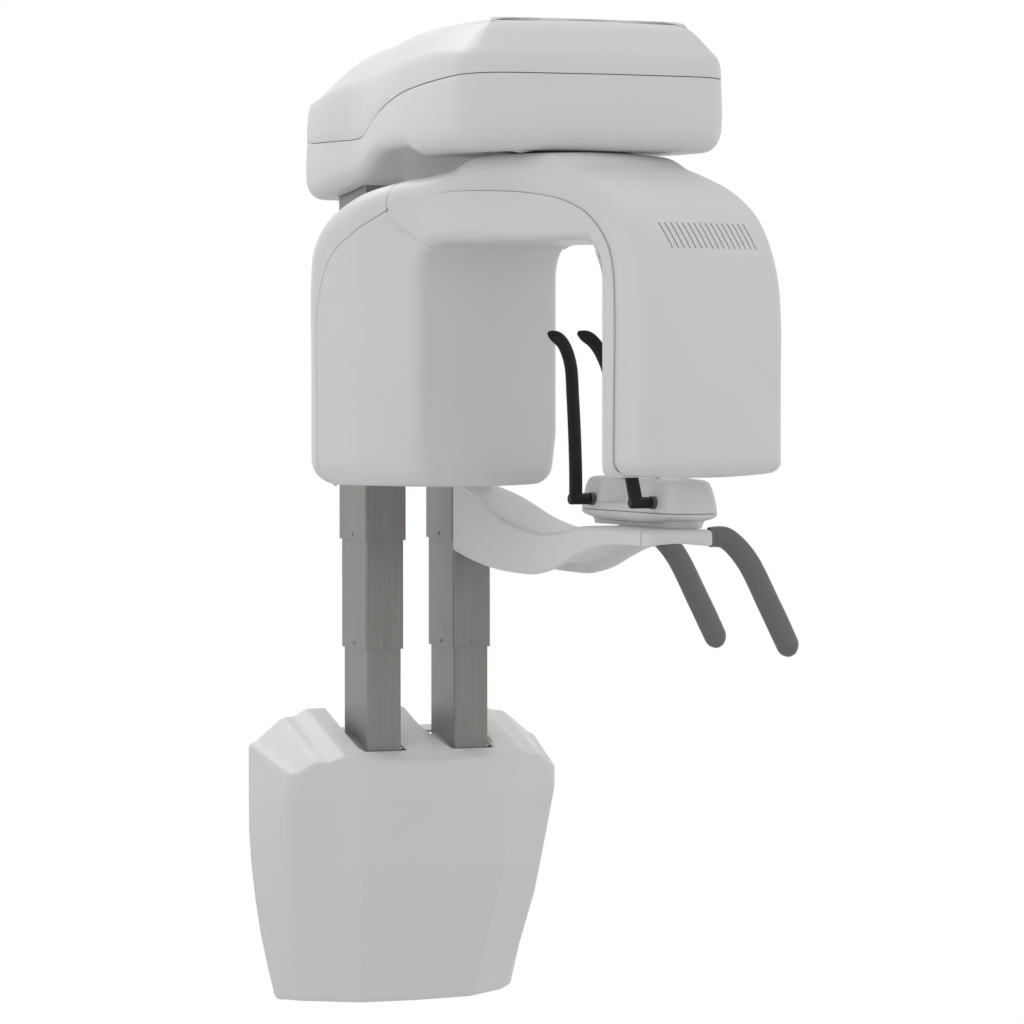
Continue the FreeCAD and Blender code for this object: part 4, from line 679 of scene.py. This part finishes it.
def build_arm_covers():
    crossing = (-218.0, 936.0)
    inner_end = (-146.0, 856.0)
    tube_outer, crown_outer = split_at(OUTER, crossing)
    tube_inner, crown_inner = split_at(INNER, inner_end)
    crossing = tuple(tube_outer[-1])
    inner_end = tuple(tube_inner[-1])
    rear_seam = catmull([TUBE_SEAM_FOOT, (-347, 640), (-347, 766), (-332, 816), (-313, 843), (-271, 869),
                         JUNCTION], 12)
    front_seam = np.array([JUNCTION, (-195.0, 876.0), inner_end])
    arch_seam = catmull([JUNCTION, (-129, 918), (-10, 919), (60, 914), (118, 904), (164, 884), (201, 845), (211, 812),
                         (214, 760), (213, 660), SENSOR_SEAM_FOOT], 12)
    arm_cover("rear_shell_cover", rear_seam, tube_outer, 6.0, 70, "rear_shell", 36.0)
    arm_cover("tube_front_panel", np.vstack([rear_seam, front_seam[1:]]), tube_inner, 1.5, 80,
              "tube_front_cover", 22.0)
    main = arm_cover("main_arm_cover", np.vstack([[crossing], arch_seam]), crown_outer, 3.5, 120, "main_cover", 26.0)
    arm_cover("inner_arm_cover", np.vstack([front_seam[::-1], arch_seam[1:]]), crown_inner, 1.0, 110,
              "inner_cover", 14.0)
    cut(main, [prism("hub_hole", circle(51.5, (0.0, -AXIS), 64), 930.0, 1000.0)])
    cut(main, [merge("vent_cutters", [vent_cutter(index) for index in range(VENTS)])])
    main.data.materials.clear()
    main.data.materials.append(WHITE)
    main.data.shade_smooth()
    main.data.set_sharp_from_angle(angle=math.radians(SHARP_ANGLE))


def merge(name, objects):
    """One mesh object from several; the sources are removed."""
    work = bmesh.new()
    for obj in objects:
        work.from_mesh(obj.data)
    mesh = bpy.data.meshes.new(name)
    work.to_mesh(mesh)
    work.free()
    for obj in objects:
        bpy.data.objects.remove(obj)
    merged = bpy.data.objects.new(name, mesh)
    bpy.context.scene.collection.objects.link(merged)
    return merged


def vent_cutter(index):
    """A slanted slot with round ends through the outer shoulder of the sensor leg."""
    w = (index - (VENTS - 1) / 2.0) * VENT_PITCH
    lean = math.radians(15.0)
    slot = []
    for along, across in rounded([(-17, -1.0), (17, -1.0), (17, 1.0), (-17, 1.0)], [0.9] * 4, closed=True, steps=4):
        slot.append((w + across * math.cos(lean) + along * math.sin(lean) * -1.0,
                     858.0 + along * math.cos(lean) + across * math.sin(lean)))
    rings = []
    for a in (235.0, 320.0):
        ring = np.array(slot)
        rings.append(to_room(np.full(len(ring), a), ring[:, 0], ring[:, 1]))
    return grid_object("vent", rings, wrap=True, caps=True)


# --- base cover -----------------------------------------------------------------------------

BASE_LEVELS = np.array([
    # height, half width at the wall, corner x and y, fold x and y, middle of the front, fold radius
    (260.0, 220.0, 202.0, 113.0, 108.0, 161.0, 170.0, 150.0),
    (99.0, 220.0, 202.0, 113.0, 108.0, 161.0, 170.0, 150.0),
    (40.0, 219.5, 195.5, 99.0, 107.5, 153.5, 162.0, 60.0),
    (-2.0, 216.5, 191.5, 88.0, 106.6, 147.0, 155.0, 8.0),
    (-53.0, 210.5, 185.5, 76.4, 101.0, 131.0, 139.0, 6.0),
    (-100.0, 203.0, 178.0, 60.0, 96.0, 115.0, 123.0, 6.0),
    (-152.0, 191.5, 168.3, 44.0, 90.5, 98.0, 106.0, 12.0),
    (-181.0, 184.0, 161.0, 36.0, 87.0, 90.0, 98.0, 20.0),
    (-198.0, 179.0, 156.0, 32.0, 84.0, 86.0, 94.0, 20.0),
])
BASE_BOTTOM = -197.0
CREST = np.array([(0.0, 212.0), (134.0, 211.0), (151.0, 201.0), (170.0, 199.5), (219.0, 160.0), (240.0, 143.0)])


def base_loop(z):
    """Plan of the wall cover at one height, from the left of the wall round to the right."""
    order = BASE_LEVELS[::-1]
    wall, cx, cy, fx, fy, front, fold = [float(np.interp(z, order[:, 0], order[:, k])) for k in range(1, 8)]
    right = [(wall, 0.4), (cx, cy), (fx, fy), (0.0, front)]
    points = [(-x, y) for x, y in right[:-1]] + right[::-1]
    radii = [0, 28.0, fold, 220.0, fold, 28.0, 0]
    path = [np.array(points[0])]
    corners = rounded(points, radii, steps=8)
    arcs = corners[1:-1].reshape(5, 9, 2)
    for arc, run in zip(arcs, (22, 14, 16, 16, 14)):
        path += list(np.linspace(path[-1], arc[0], run)[1:]) + list(arc[1:])
    path += list(np.linspace(path[-1], points[-1], 22)[1:])
    return np.array(path)


def base_height(x, y):
    """Top of the wall cover: crest, sloping shoulders, recessed deck and the hump between the columns."""
    x = np.abs(x)
    profile = rounded(CREST, [0, 9.0, 9.0, 12.0, 0, 0], steps=6)
    crest = np.interp(x, profile[:, 0], profile[:, 1]) - y * (0.3975 + 0.06 * smoothstep((x - 140.0) / 60.0))
    hump = 27.0 * smoothstep((38.0 - x) / 26.0) * np.clip(1.0 - y / 96.0, 0.0, 1.0)
    deck = 182.0 - 0.184 * y + hump
    part = smoothstep((x - 98.0) / 7.0)
    low = crest - np.sqrt((crest - deck) ** 2 + 9.0)
    soft = (low + deck) / 2.0 + 1.5
    return np.minimum(soft, crest) * (1.0 - part) + crest * part


def across_base(reach):
    """Positions across the top, close together at the walls of the deck."""
    limit = max(reach, 114.0)
    right = np.concatenate([np.linspace(0.0, 40.0, 14)[:-1], np.linspace(40.0, 97.0, 10)[:-1],
                            np.linspace(97.0, 106.0, 9)[:-1], np.linspace(106.0, limit, 18)])
    return np.concatenate([-right[::-1], right[1:]]) * reach / limit


def build_base_cover():
    brow, foot = 9.0, 14.0
    top_loop = base_loop(200.0)
    inside = inset_outline(top_loop, brow)
    top_edge = base_height(inside[:, 0], inside[:, 1])
    rings = []
    turn = np.linspace(0.0, math.pi / 2.0, 7)
    for t in turn[:-1]:
        loop = inset_outline(base_loop(BASE_BOTTOM + foot), foot * (1 - math.sin(t)))
        rings.append(np.column_stack([loop, np.full(len(loop), BASE_BOTTOM + foot * (1 - math.cos(t)))]))
    for share in np.linspace(0.0, 1.0, 60):
        heights = BASE_BOTTOM + foot + (top_edge - brow - BASE_BOTTOM - foot) * share
        rings.append(np.column_stack([level_ring(heights), heights]))
    last = rings[-1].copy()
    for t in turn[1:]:
        loop = inset_outline(top_loop, brow * (1 - math.cos(t)))
        rings.append(np.column_stack([loop, last[:, 2] + (top_edge - last[:, 2]) * math.sin(t)]))
    rings = np.array(rings)
    half = rings.shape[1] // 2
    top, bottom = [], []
    for i in range(half + 1):
        x, y = rings[-1][i][0], rings[-1][i][1]
        xs = across_base(max(-x, 0.02))
        top.append(np.column_stack([xs, np.full(len(xs), y), base_height(xs, np.full(len(xs), y))]))
        x, y, z = rings[0][i]
        bottom.append(np.column_stack([np.linspace(x, -x, 9), np.full(9, y), np.full(9, z)]))
    top, bottom = np.array(top), np.array(bottom)
    points = np.vstack([rings.reshape(-1, 3), top.reshape(-1, 3), bottom.reshape(-1, 3)])
    faces = grid_faces(*rings.shape[:2])
    faces += grid_faces(top.shape[0], top.shape[1], rings.shape[0] * rings.shape[1])
    faces += grid_faces(bottom.shape[0], bottom.shape[1], len(points) - bottom.shape[0] * bottom.shape[1])
    points[:, 1] *= -1.0
    obj = outward(make_object("wall_cover_shell", points, faces, 0.05))
    thicken(obj)
    cutters = [prism("cut", rectangle(sign * COLUMN_X, -COLUMN_Y, 65.0, 99.0, 5.0), 60.0, 300.0) for sign in (-1, 1)]
    cutters.append(prism("cut", rectangle(0.0, -38.0, 48.6, 28.6, 2.0), -230.0, -166.0))
    cutters.append(prism("cut", rectangle(0.0, -67.0, 48.6, 30.6, 2.0), -230.0, -166.0))
    cutters.append(prism("cut", circle(20.3, (-60.0, 100.0), 40), 180.0, 260.0, "x"))
    cut(obj, cutters)
    return finish(obj, "base", WHITE, "white_cover", ["base_cover"])


def level_ring(heights):
    """Points of the plan where every point has its own height."""
    low, high = float(heights.min()), float(heights.max())
    levels = np.linspace(low, high, 9) if high > low + 0.01 else np.array([low, low + 1.0])
    loops = np.array([base_loop(z) for z in levels])
    ring = np.zeros((len(heights), 2))
    for axis in (0, 1):
        for k, z in enumerate(heights):
            ring[k, axis] = np.interp(z, levels, loops[:, k, axis])
    return ring


# --- support arm ----------------------------------------------------------------------------

ARM_TOP = ((129.5, 529), (200, 514), (290, 486), (340, 477), (385, 472), (427, 470), (480, 474), (524, 481),
           (575, 484), (640, 484), (758, 484))
ARM_LOW = ((129.5, 436), (190, 425), (265, 416), (330, 413), (384, 412.5), (425, 417), (468, 425.5), (520, 441),
           (577, 455), (625, 461), (690, 463), (758, 463))


def arm_section(y, inset=0.0):
    left = 35.0 + inset
    right = float(pchip((129.5, 200, 290, 380, 758), (97, 108, 121, 126, 126), y)) - inset
    top = float(pchip(*zip(*ARM_TOP), y)) - inset
    low = float(pchip(*zip(*ARM_LOW), y)) + inset
    hollow = float(pchip((129.5, 300, 520, 640, 758), (8, 14, 14, 3, 2), y))
    hollow = max(hollow - inset, 0.4)
    wall = 7.0
    points = [(left, low), (left, (low + top) / 2.0), (left, top), ((left + right) / 2.0, top), (right, top),
              (right, (low + top) / 2.0), (right, low), (right - wall, low), (right - wall - 8, low + hollow),
              ((left + right) / 2.0, low + hollow + 2), (left + wall + 8, low + hollow), (left + wall, low)]
    radii = [2.2, 0, 7.0, 0, 7.0, 0, 2.2, 2.2, 5.0, 0, 5.0, 2.2]
    return rounded(points, radii, closed=True, steps=6)


def build_support_arm():
    split = 730.0
    rings = []
    stations = [129.8, 131.0] + list(np.linspace(136, split - 0.6, 70))
    for y in stations:
        ring = arm_section(y, 1.2 if y < 130 else 0.0)
        rings.append(np.column_stack([ring[:, 0], np.full(len(ring), -y), ring[:, 1]]))
    shell = grid_object("support_arm_shell", rings, wrap=True, caps=True)
    finish(shell, "lift_head", WHITE, "white_cover", ["arm_shell"])
    rings = []
    for y, inset in ((split + 0.4, 0.4), (split + 1.2, 0.0), (750, 0.0), (753.5, 0.5), (756, 1.5), (757.4, 2.9),
                     (758, 4.6)):
        ring = arm_section(y)
        centre = np.array([80.5, 473.5])
        ring = centre + (ring - centre) * (1.0 - inset / np.array([45.5, 10.5]))
        rings.append(np.column_stack([ring[:, 0], np.full(len(ring), -y), ring[:, 1]]))
    cap = grid_object("support_arm_nose", rings, wrap=True, caps=True)
    finish(cap, "lift_head", WHITE, "white_cover", ["arm_end_cap"])


# --- platform -------------------------------------------------------------------------------

def platform_loop(scoop=0.0, inset=0.0, count=220):
    """Plan of the platform as (x, wall distance), closed, optionally with the patient-side scoop."""
    left, right, half = 74.0 + inset, 145.0 - inset, 145.0 - inset
    corners = [(left, AXIS - half), (right, AXIS - half), (right, AXIS + half), (left, AXIS + half)]
    radii = [26.0 - inset * 0.5, 18.0, 18.0, 34.0 - inset * 0.5]
    loop = rounded([(left, AXIS)] + corners, [0] + radii, closed=True, steps=12)
    loop = resample(np.vstack([loop, loop[:1]]), count + 1)[:-1]
    if scoop:
        away = np.abs(loop[:, 1] - AXIS)
        valley = smoothstep((78.0 - away) / 22.0) - 0.55 * smoothstep((44.0 - away) / 40.0)
        near_left = smoothstep((left + 16.0 - loop[:, 0]) / 14.0)
        loop[:, 0] += scoop * valley * near_left
    return loop


def build_platform():
    levels = [(503.9, 0.6, 0.0), (504.6, 0.0, 0.0), (508.0, 0.2, 0.0), (513.0, 0.7, 0.0), (514.2, 0.9, 9.0),
              (515.2, 1.1, 17.0), (520.0, 1.7, 20.0), (527.0, 3.0, 21.0), (534.0, 4.6, 21.5), (540.0, 6.4, 22.0),
              (543.5, 8.2, 22.0), (545.6, 10.6, 22.0), (546.7, 13.5, 21.0), (547.2, 17.0, 19.0)]
    rings = []
    for z, inset, scoop in levels:
        loop = platform_loop(scoop, inset)
        rings.append(np.column_stack([loop[:, 0], loop[:, 1], np.full(len(loop), z)]))
    last = rings[-1]
    centre = np.array([118.0, AXIS, 547.2])
    for shrink, rise in ((0.82, 1.4), (0.62, 2.8), (0.42, 3.9), (0.2, 4.6), (0.0, 4.8)):
        ring = centre + (last - centre) * shrink
        ring[:, 2] = 547.2 + rise
        rings.append(ring)
    rings = np.array(rings)
    rings[..., 1] *= -1.0
    body = outward(grid_object("platform_upper_shell", rings, wrap=True))
    thicken(body, 2.6)
    cutters = [prism("cut", circle(4.2, (-(AXIS + sign * ROD_SPREAD), AXLE_HEIGHT), 24), 60.0, 92.0, "x")
               for sign in (-1, 1)]
    for y in (-26.0, 26.0):
        cutters.append(prism("cut", rectangle(-AXIS + y, 522.5, 16.8, 14.8, 2.0), 130.0, 160.0, "x"))
    cut(body, cutters)
    finish(body, "lift_head", WHITE, "white_cover", ["platform_body"])

    rings = []
    for inset, drop in ((0.6, 0.0), (0.0, 0.06), (0.0, 0.25), (0.8, 0.55), (3.0, 0.84), (7.0, 0.97), (12.0, 1.0)):
        loop = platform_loop(0.0, inset)
        along = np.abs(loop[:, 1] - AXIS) / 145.0
        sideways = np.abs(loop[:, 0] - 109.0) / 36.0
        depth = 4.0 + 9.0 * (1 - np.clip(along, 0, 1) ** 2.2) + 4.0 * (1 - np.clip(sideways, 0, 1) ** 2)
        depth = np.minimum(depth, 13.0)
        rings.append(np.column_stack([loop[:, 0], loop[:, 1], 503.2 - depth * drop]))
    for inset, z in ((14.0, 489.0), (15.0, 484.3)):
        loop = platform_loop(0.0, inset)
        rings.append(np.column_stack([loop[:, 0], loop[:, 1], np.full(len(loop), z)]))
    rings = np.array(rings)
    rings[..., 1] *= -1.0
    tray = outward(grid_object("platform_lower_shell", rings, wrap=True))
    thicken(tray, 2.4)
    finish(tray, "lift_head", WHITE, "white_cover", ["platform_tray"])


# --- rods and handles -----------------------------------------------------------------------

def build_temple_rods():
    for tag, lean in (("rear", -1.0), ("front", 1.0)):
        wall = AXIS + lean * ROD_SPREAD
        stations = ((0.0, 48.5), (0.18, 44.5), (0.6, 31.5), (0.83, 22.0), (0.95, 7.0), (1.0, -13.0))
        # the two tips lean towards each other
        path = catmull([(x, -wall + lean * 46.0 * share, AXLE_HEIGHT + 219.5 * share) for share, x in stations], 12)
        path = resample(path, 60)
        travel = np.linspace(0, 1, 60)
        widths = 18.6 - 1.4 * travel
        depths = 9.4 - 0.6 * travel
        for k, factor in enumerate((0.94, 0.82, 0.60, 0.30)):
            widths[-1 - (3 - k)] *= factor
            depths[-1 - (3 - k)] *= factor
        strap = sweep("temple_strap_" + tag, path, depths, widths, (0, 1, 0), 28, 0.6)
        barrel = lathe("temple_barrel_" + tag,
                       [(4.5, 0.0), (5.6, 0.0), (6.6, 0.5), (7.3, 1.6), (7.5, 3.0), (7.5, 28.6), (7.2, 29.2),
                        (6.8, 29.6), (4.6, 29.6)],
                       (39.0, -wall, AXLE_HEIGHT), (1, 0, 0), 40)
        finish(strap, "temple_rod_" + tag, BLACK, "black_plastic", ["temple_rod_" + tag])
        finish(barrel, "temple_rod_" + tag, BLACK, "black_plastic", ["temple_rod_" + tag])
        collar = lathe("temple_collar_" + tag,
                       [(4.6, 0.0), (7.2, 0.0), (8.2, 0.5), (8.5, 1.2), (8.5, 3.4), (8.1, 4.2), (6.0, 4.8)],
                       (69.0, -wall, AXLE_HEIGHT), (1, 0, 0), 40)
        finish(collar, "lift_head", RING, "grey_ring")


def build_handles():
    for tag, sign in (("rear", -1.0), ("front", 1.0)):
        wall = AXIS + sign * 105.0
        plate = 484.0
        route = [(147.5, plate - 12), (160, plate - 11.5), (172, plate - 14), (200, plate - 40), (236, plate - 104),
                 (269, plate - 168)]
        path = catmull([(x, -wall, z) for x, z in route], 12)
        path = resample(path, 70)
        travel = np.linspace(0, 1, 70)
        widths = np.interp(travel, (0, 0.12, 0.3, 0.8, 1.0), (26, 29, 31, 32, 31))
        depths = np.interp(travel, (0, 0.3, 0.8, 1.0), (17, 18, 18.5, 17))
        for k, factor in enumerate((0.97, 0.91, 0.80, 0.62, 0.35)):
            widths[-5 + k] *= factor
            depths[-5 + k] *= factor
        grip = sweep("handle_grip_" + tag, path, depths, widths, (0, 1, 0), 36, 0.25)
        finish(grip, "lift_head", GRIP, "handle_grip", ["handle_" + tag], 60.0)


def build_stage_screws():
    """Screws at the lower ends of the moving stages."""
    head = [(0.0, -0.6), (2.2, -0.6), (2.6, -0.3), (2.6, 0.35), (2.2, 0.6), (0.0, 0.6)]
    for sign in (-1, 1):
        tag = "left" if sign < 0 else "right"
        for stage, body, half_x, half_y, z in (("outer", "lift_head", 30.9, 47.9, 458.0),
                                               ("middle", "middle_stage", 28.2, 45.2, 307.0)):
            front = lathe("stage_screw_%s_%s" % (stage, tag), head,
                          (sign * COLUMN_X, -COLUMN_Y - half_y - 0.2, z), (0, -1, 0), 20)
            finish(front, body, PAINTED, "painted_steel")
            side = lathe("stage_side_screw_%s_%s" % (stage, tag), head,
                         (sign * COLUMN_X - half_x - 0.2, -COLUMN_Y, z), (-1, 0, 0), 20)
            finish(side, body, PAINTED, "painted_steel")


def build_stop():
    """Low emergency stop in its collar, on the right side of the wall cover."""
    centre = (208.4, -60.0, 100.0)
    collar = lathe("stop_collar", [(5.6, -13.0), (19.6, -13.0), (19.9, -12.0), (19.9, 0.6), (19.2, 1.2), (16.6, 1.4),
                                   (16.0, 0.6), (15.6, -3.0), (5.6, -3.0)], centre, (1, 0, 0), 56)
    finish(collar, "base", YELLOW, "stop_yellow", ["stop_housing"])
    button = lathe("stop_cap", [(0.0, 6.6), (6.0, 6.4), (10.0, 5.9), (12.6, 4.9), (13.6, 3.8), (13.8, 3.0),
                                (13.2, 2.0), (10.0, 1.6), (4.8, 1.4), (4.8, -18.0), (0.0, -18.0)],
                   centre, (1, 0, 0), 56)
    finish(button, "stop_button", RED, "stop_red", ["stop_button"])


build_stop()
build_housing()
build_arm_covers()
build_base_cover()
build_support_arm()
build_platform()
build_temple_rods()
build_handles()
build_stage_screws()


# --- room, light and camera -----------------------------------------------------------------

def build_room():
    floor = make_object("studio_floor", [(-6000, 3400, -900), (6000, 3400, -900), (6000, -9000, -900),
                                         (-6000, -9000, -900)], [(0, 1, 2, 3)])
    pale, tree, shader, place = new_material("studio_pale")
    shade = ramp(tree, noise(tree, place, 0.6, 2.0), (0.66, 0.66, 0.66), (0.70, 0.70, 0.70))
    tree.links.new(shade, shader.inputs["Base Color"])
    shader.inputs["Roughness"].default_value = 0.9
    floor.data.materials.append(pale)


def area_light(name, place, target, size, power):
    data = bpy.data.lights.new(name, "AREA")
    data.shape = "RECTANGLE"
    data.size, data.size_y = size
    data.energy = power
    obj = bpy.data.objects.new(name, data)
    obj.location = place
    obj.rotation_euler = (Vector(target) - Vector(place)).to_track_quat("-Z", "Y").to_euler()
    bpy.context.scene.collection.objects.link(obj)


def build_light():
    world = bpy.context.scene.world or bpy.data.worlds.new("studio")
    bpy.context.scene.world = world
    world.use_nodes = True
    background = world.node_tree.nodes.get("Background") or world.node_tree.nodes.new("ShaderNodeBackground")
    background.inputs["Strength"].default_value = 1.0
    tree = world.node_tree
    direction = tree.nodes.new("ShaderNodeTexCoord")
    split = tree.nodes.new("ShaderNodeSeparateXYZ")
    rise = tree.nodes.new("ShaderNodeMapRange")
    rise.inputs["From Min"].default_value = -1.0
    shade = tree.nodes.new("ShaderNodeValToRGB")
    tree.links.new(direction.outputs["Generated"], split.inputs["Vector"])
    tree.links.new(split.outputs["Z"], rise.inputs["Value"])
    tree.links.new(rise.outputs["Result"], shade.inputs["Fac"])
    tree.links.new(shade.outputs["Color"], background.inputs["Color"])
    stops = shade.color_ramp.elements
    stops[0].position, stops[0].color = 0.30, (0.45, 0.45, 0.45, 1.0)
    stops[1].position, stops[1].color = 0.40, (1.0, 1.0, 1.0, 1.0)
    for position, grey in ((0.58, 1.0), (0.70, 0.62), (1.0, 0.9)):
        stop = stops.new(position)
        stop.color = (grey, grey, grey, 1.0)
    area_light("top_softbox", (-0.6, 1.9, 3.6), (0.0, -0.5, 0.4), (2.6, 2.6), 45.0)
    bpy.context.scene.view_settings.view_transform = "Standard"


def build_camera():
    data = bpy.data.cameras.new("camera")
    data.lens = 172.1
    data.sensor_width = 36.0
    camera = bpy.data.objects.new("camera", data)
    camera.location = (-2.694, -6.374, 0.715)
    camera.rotation_euler = (math.radians(88.1), 0.0, math.radians(-24.3))
    bpy.context.scene.collection.objects.link(camera)
    bpy.context.scene.camera = camera


build_room()
build_light()
build_camera()
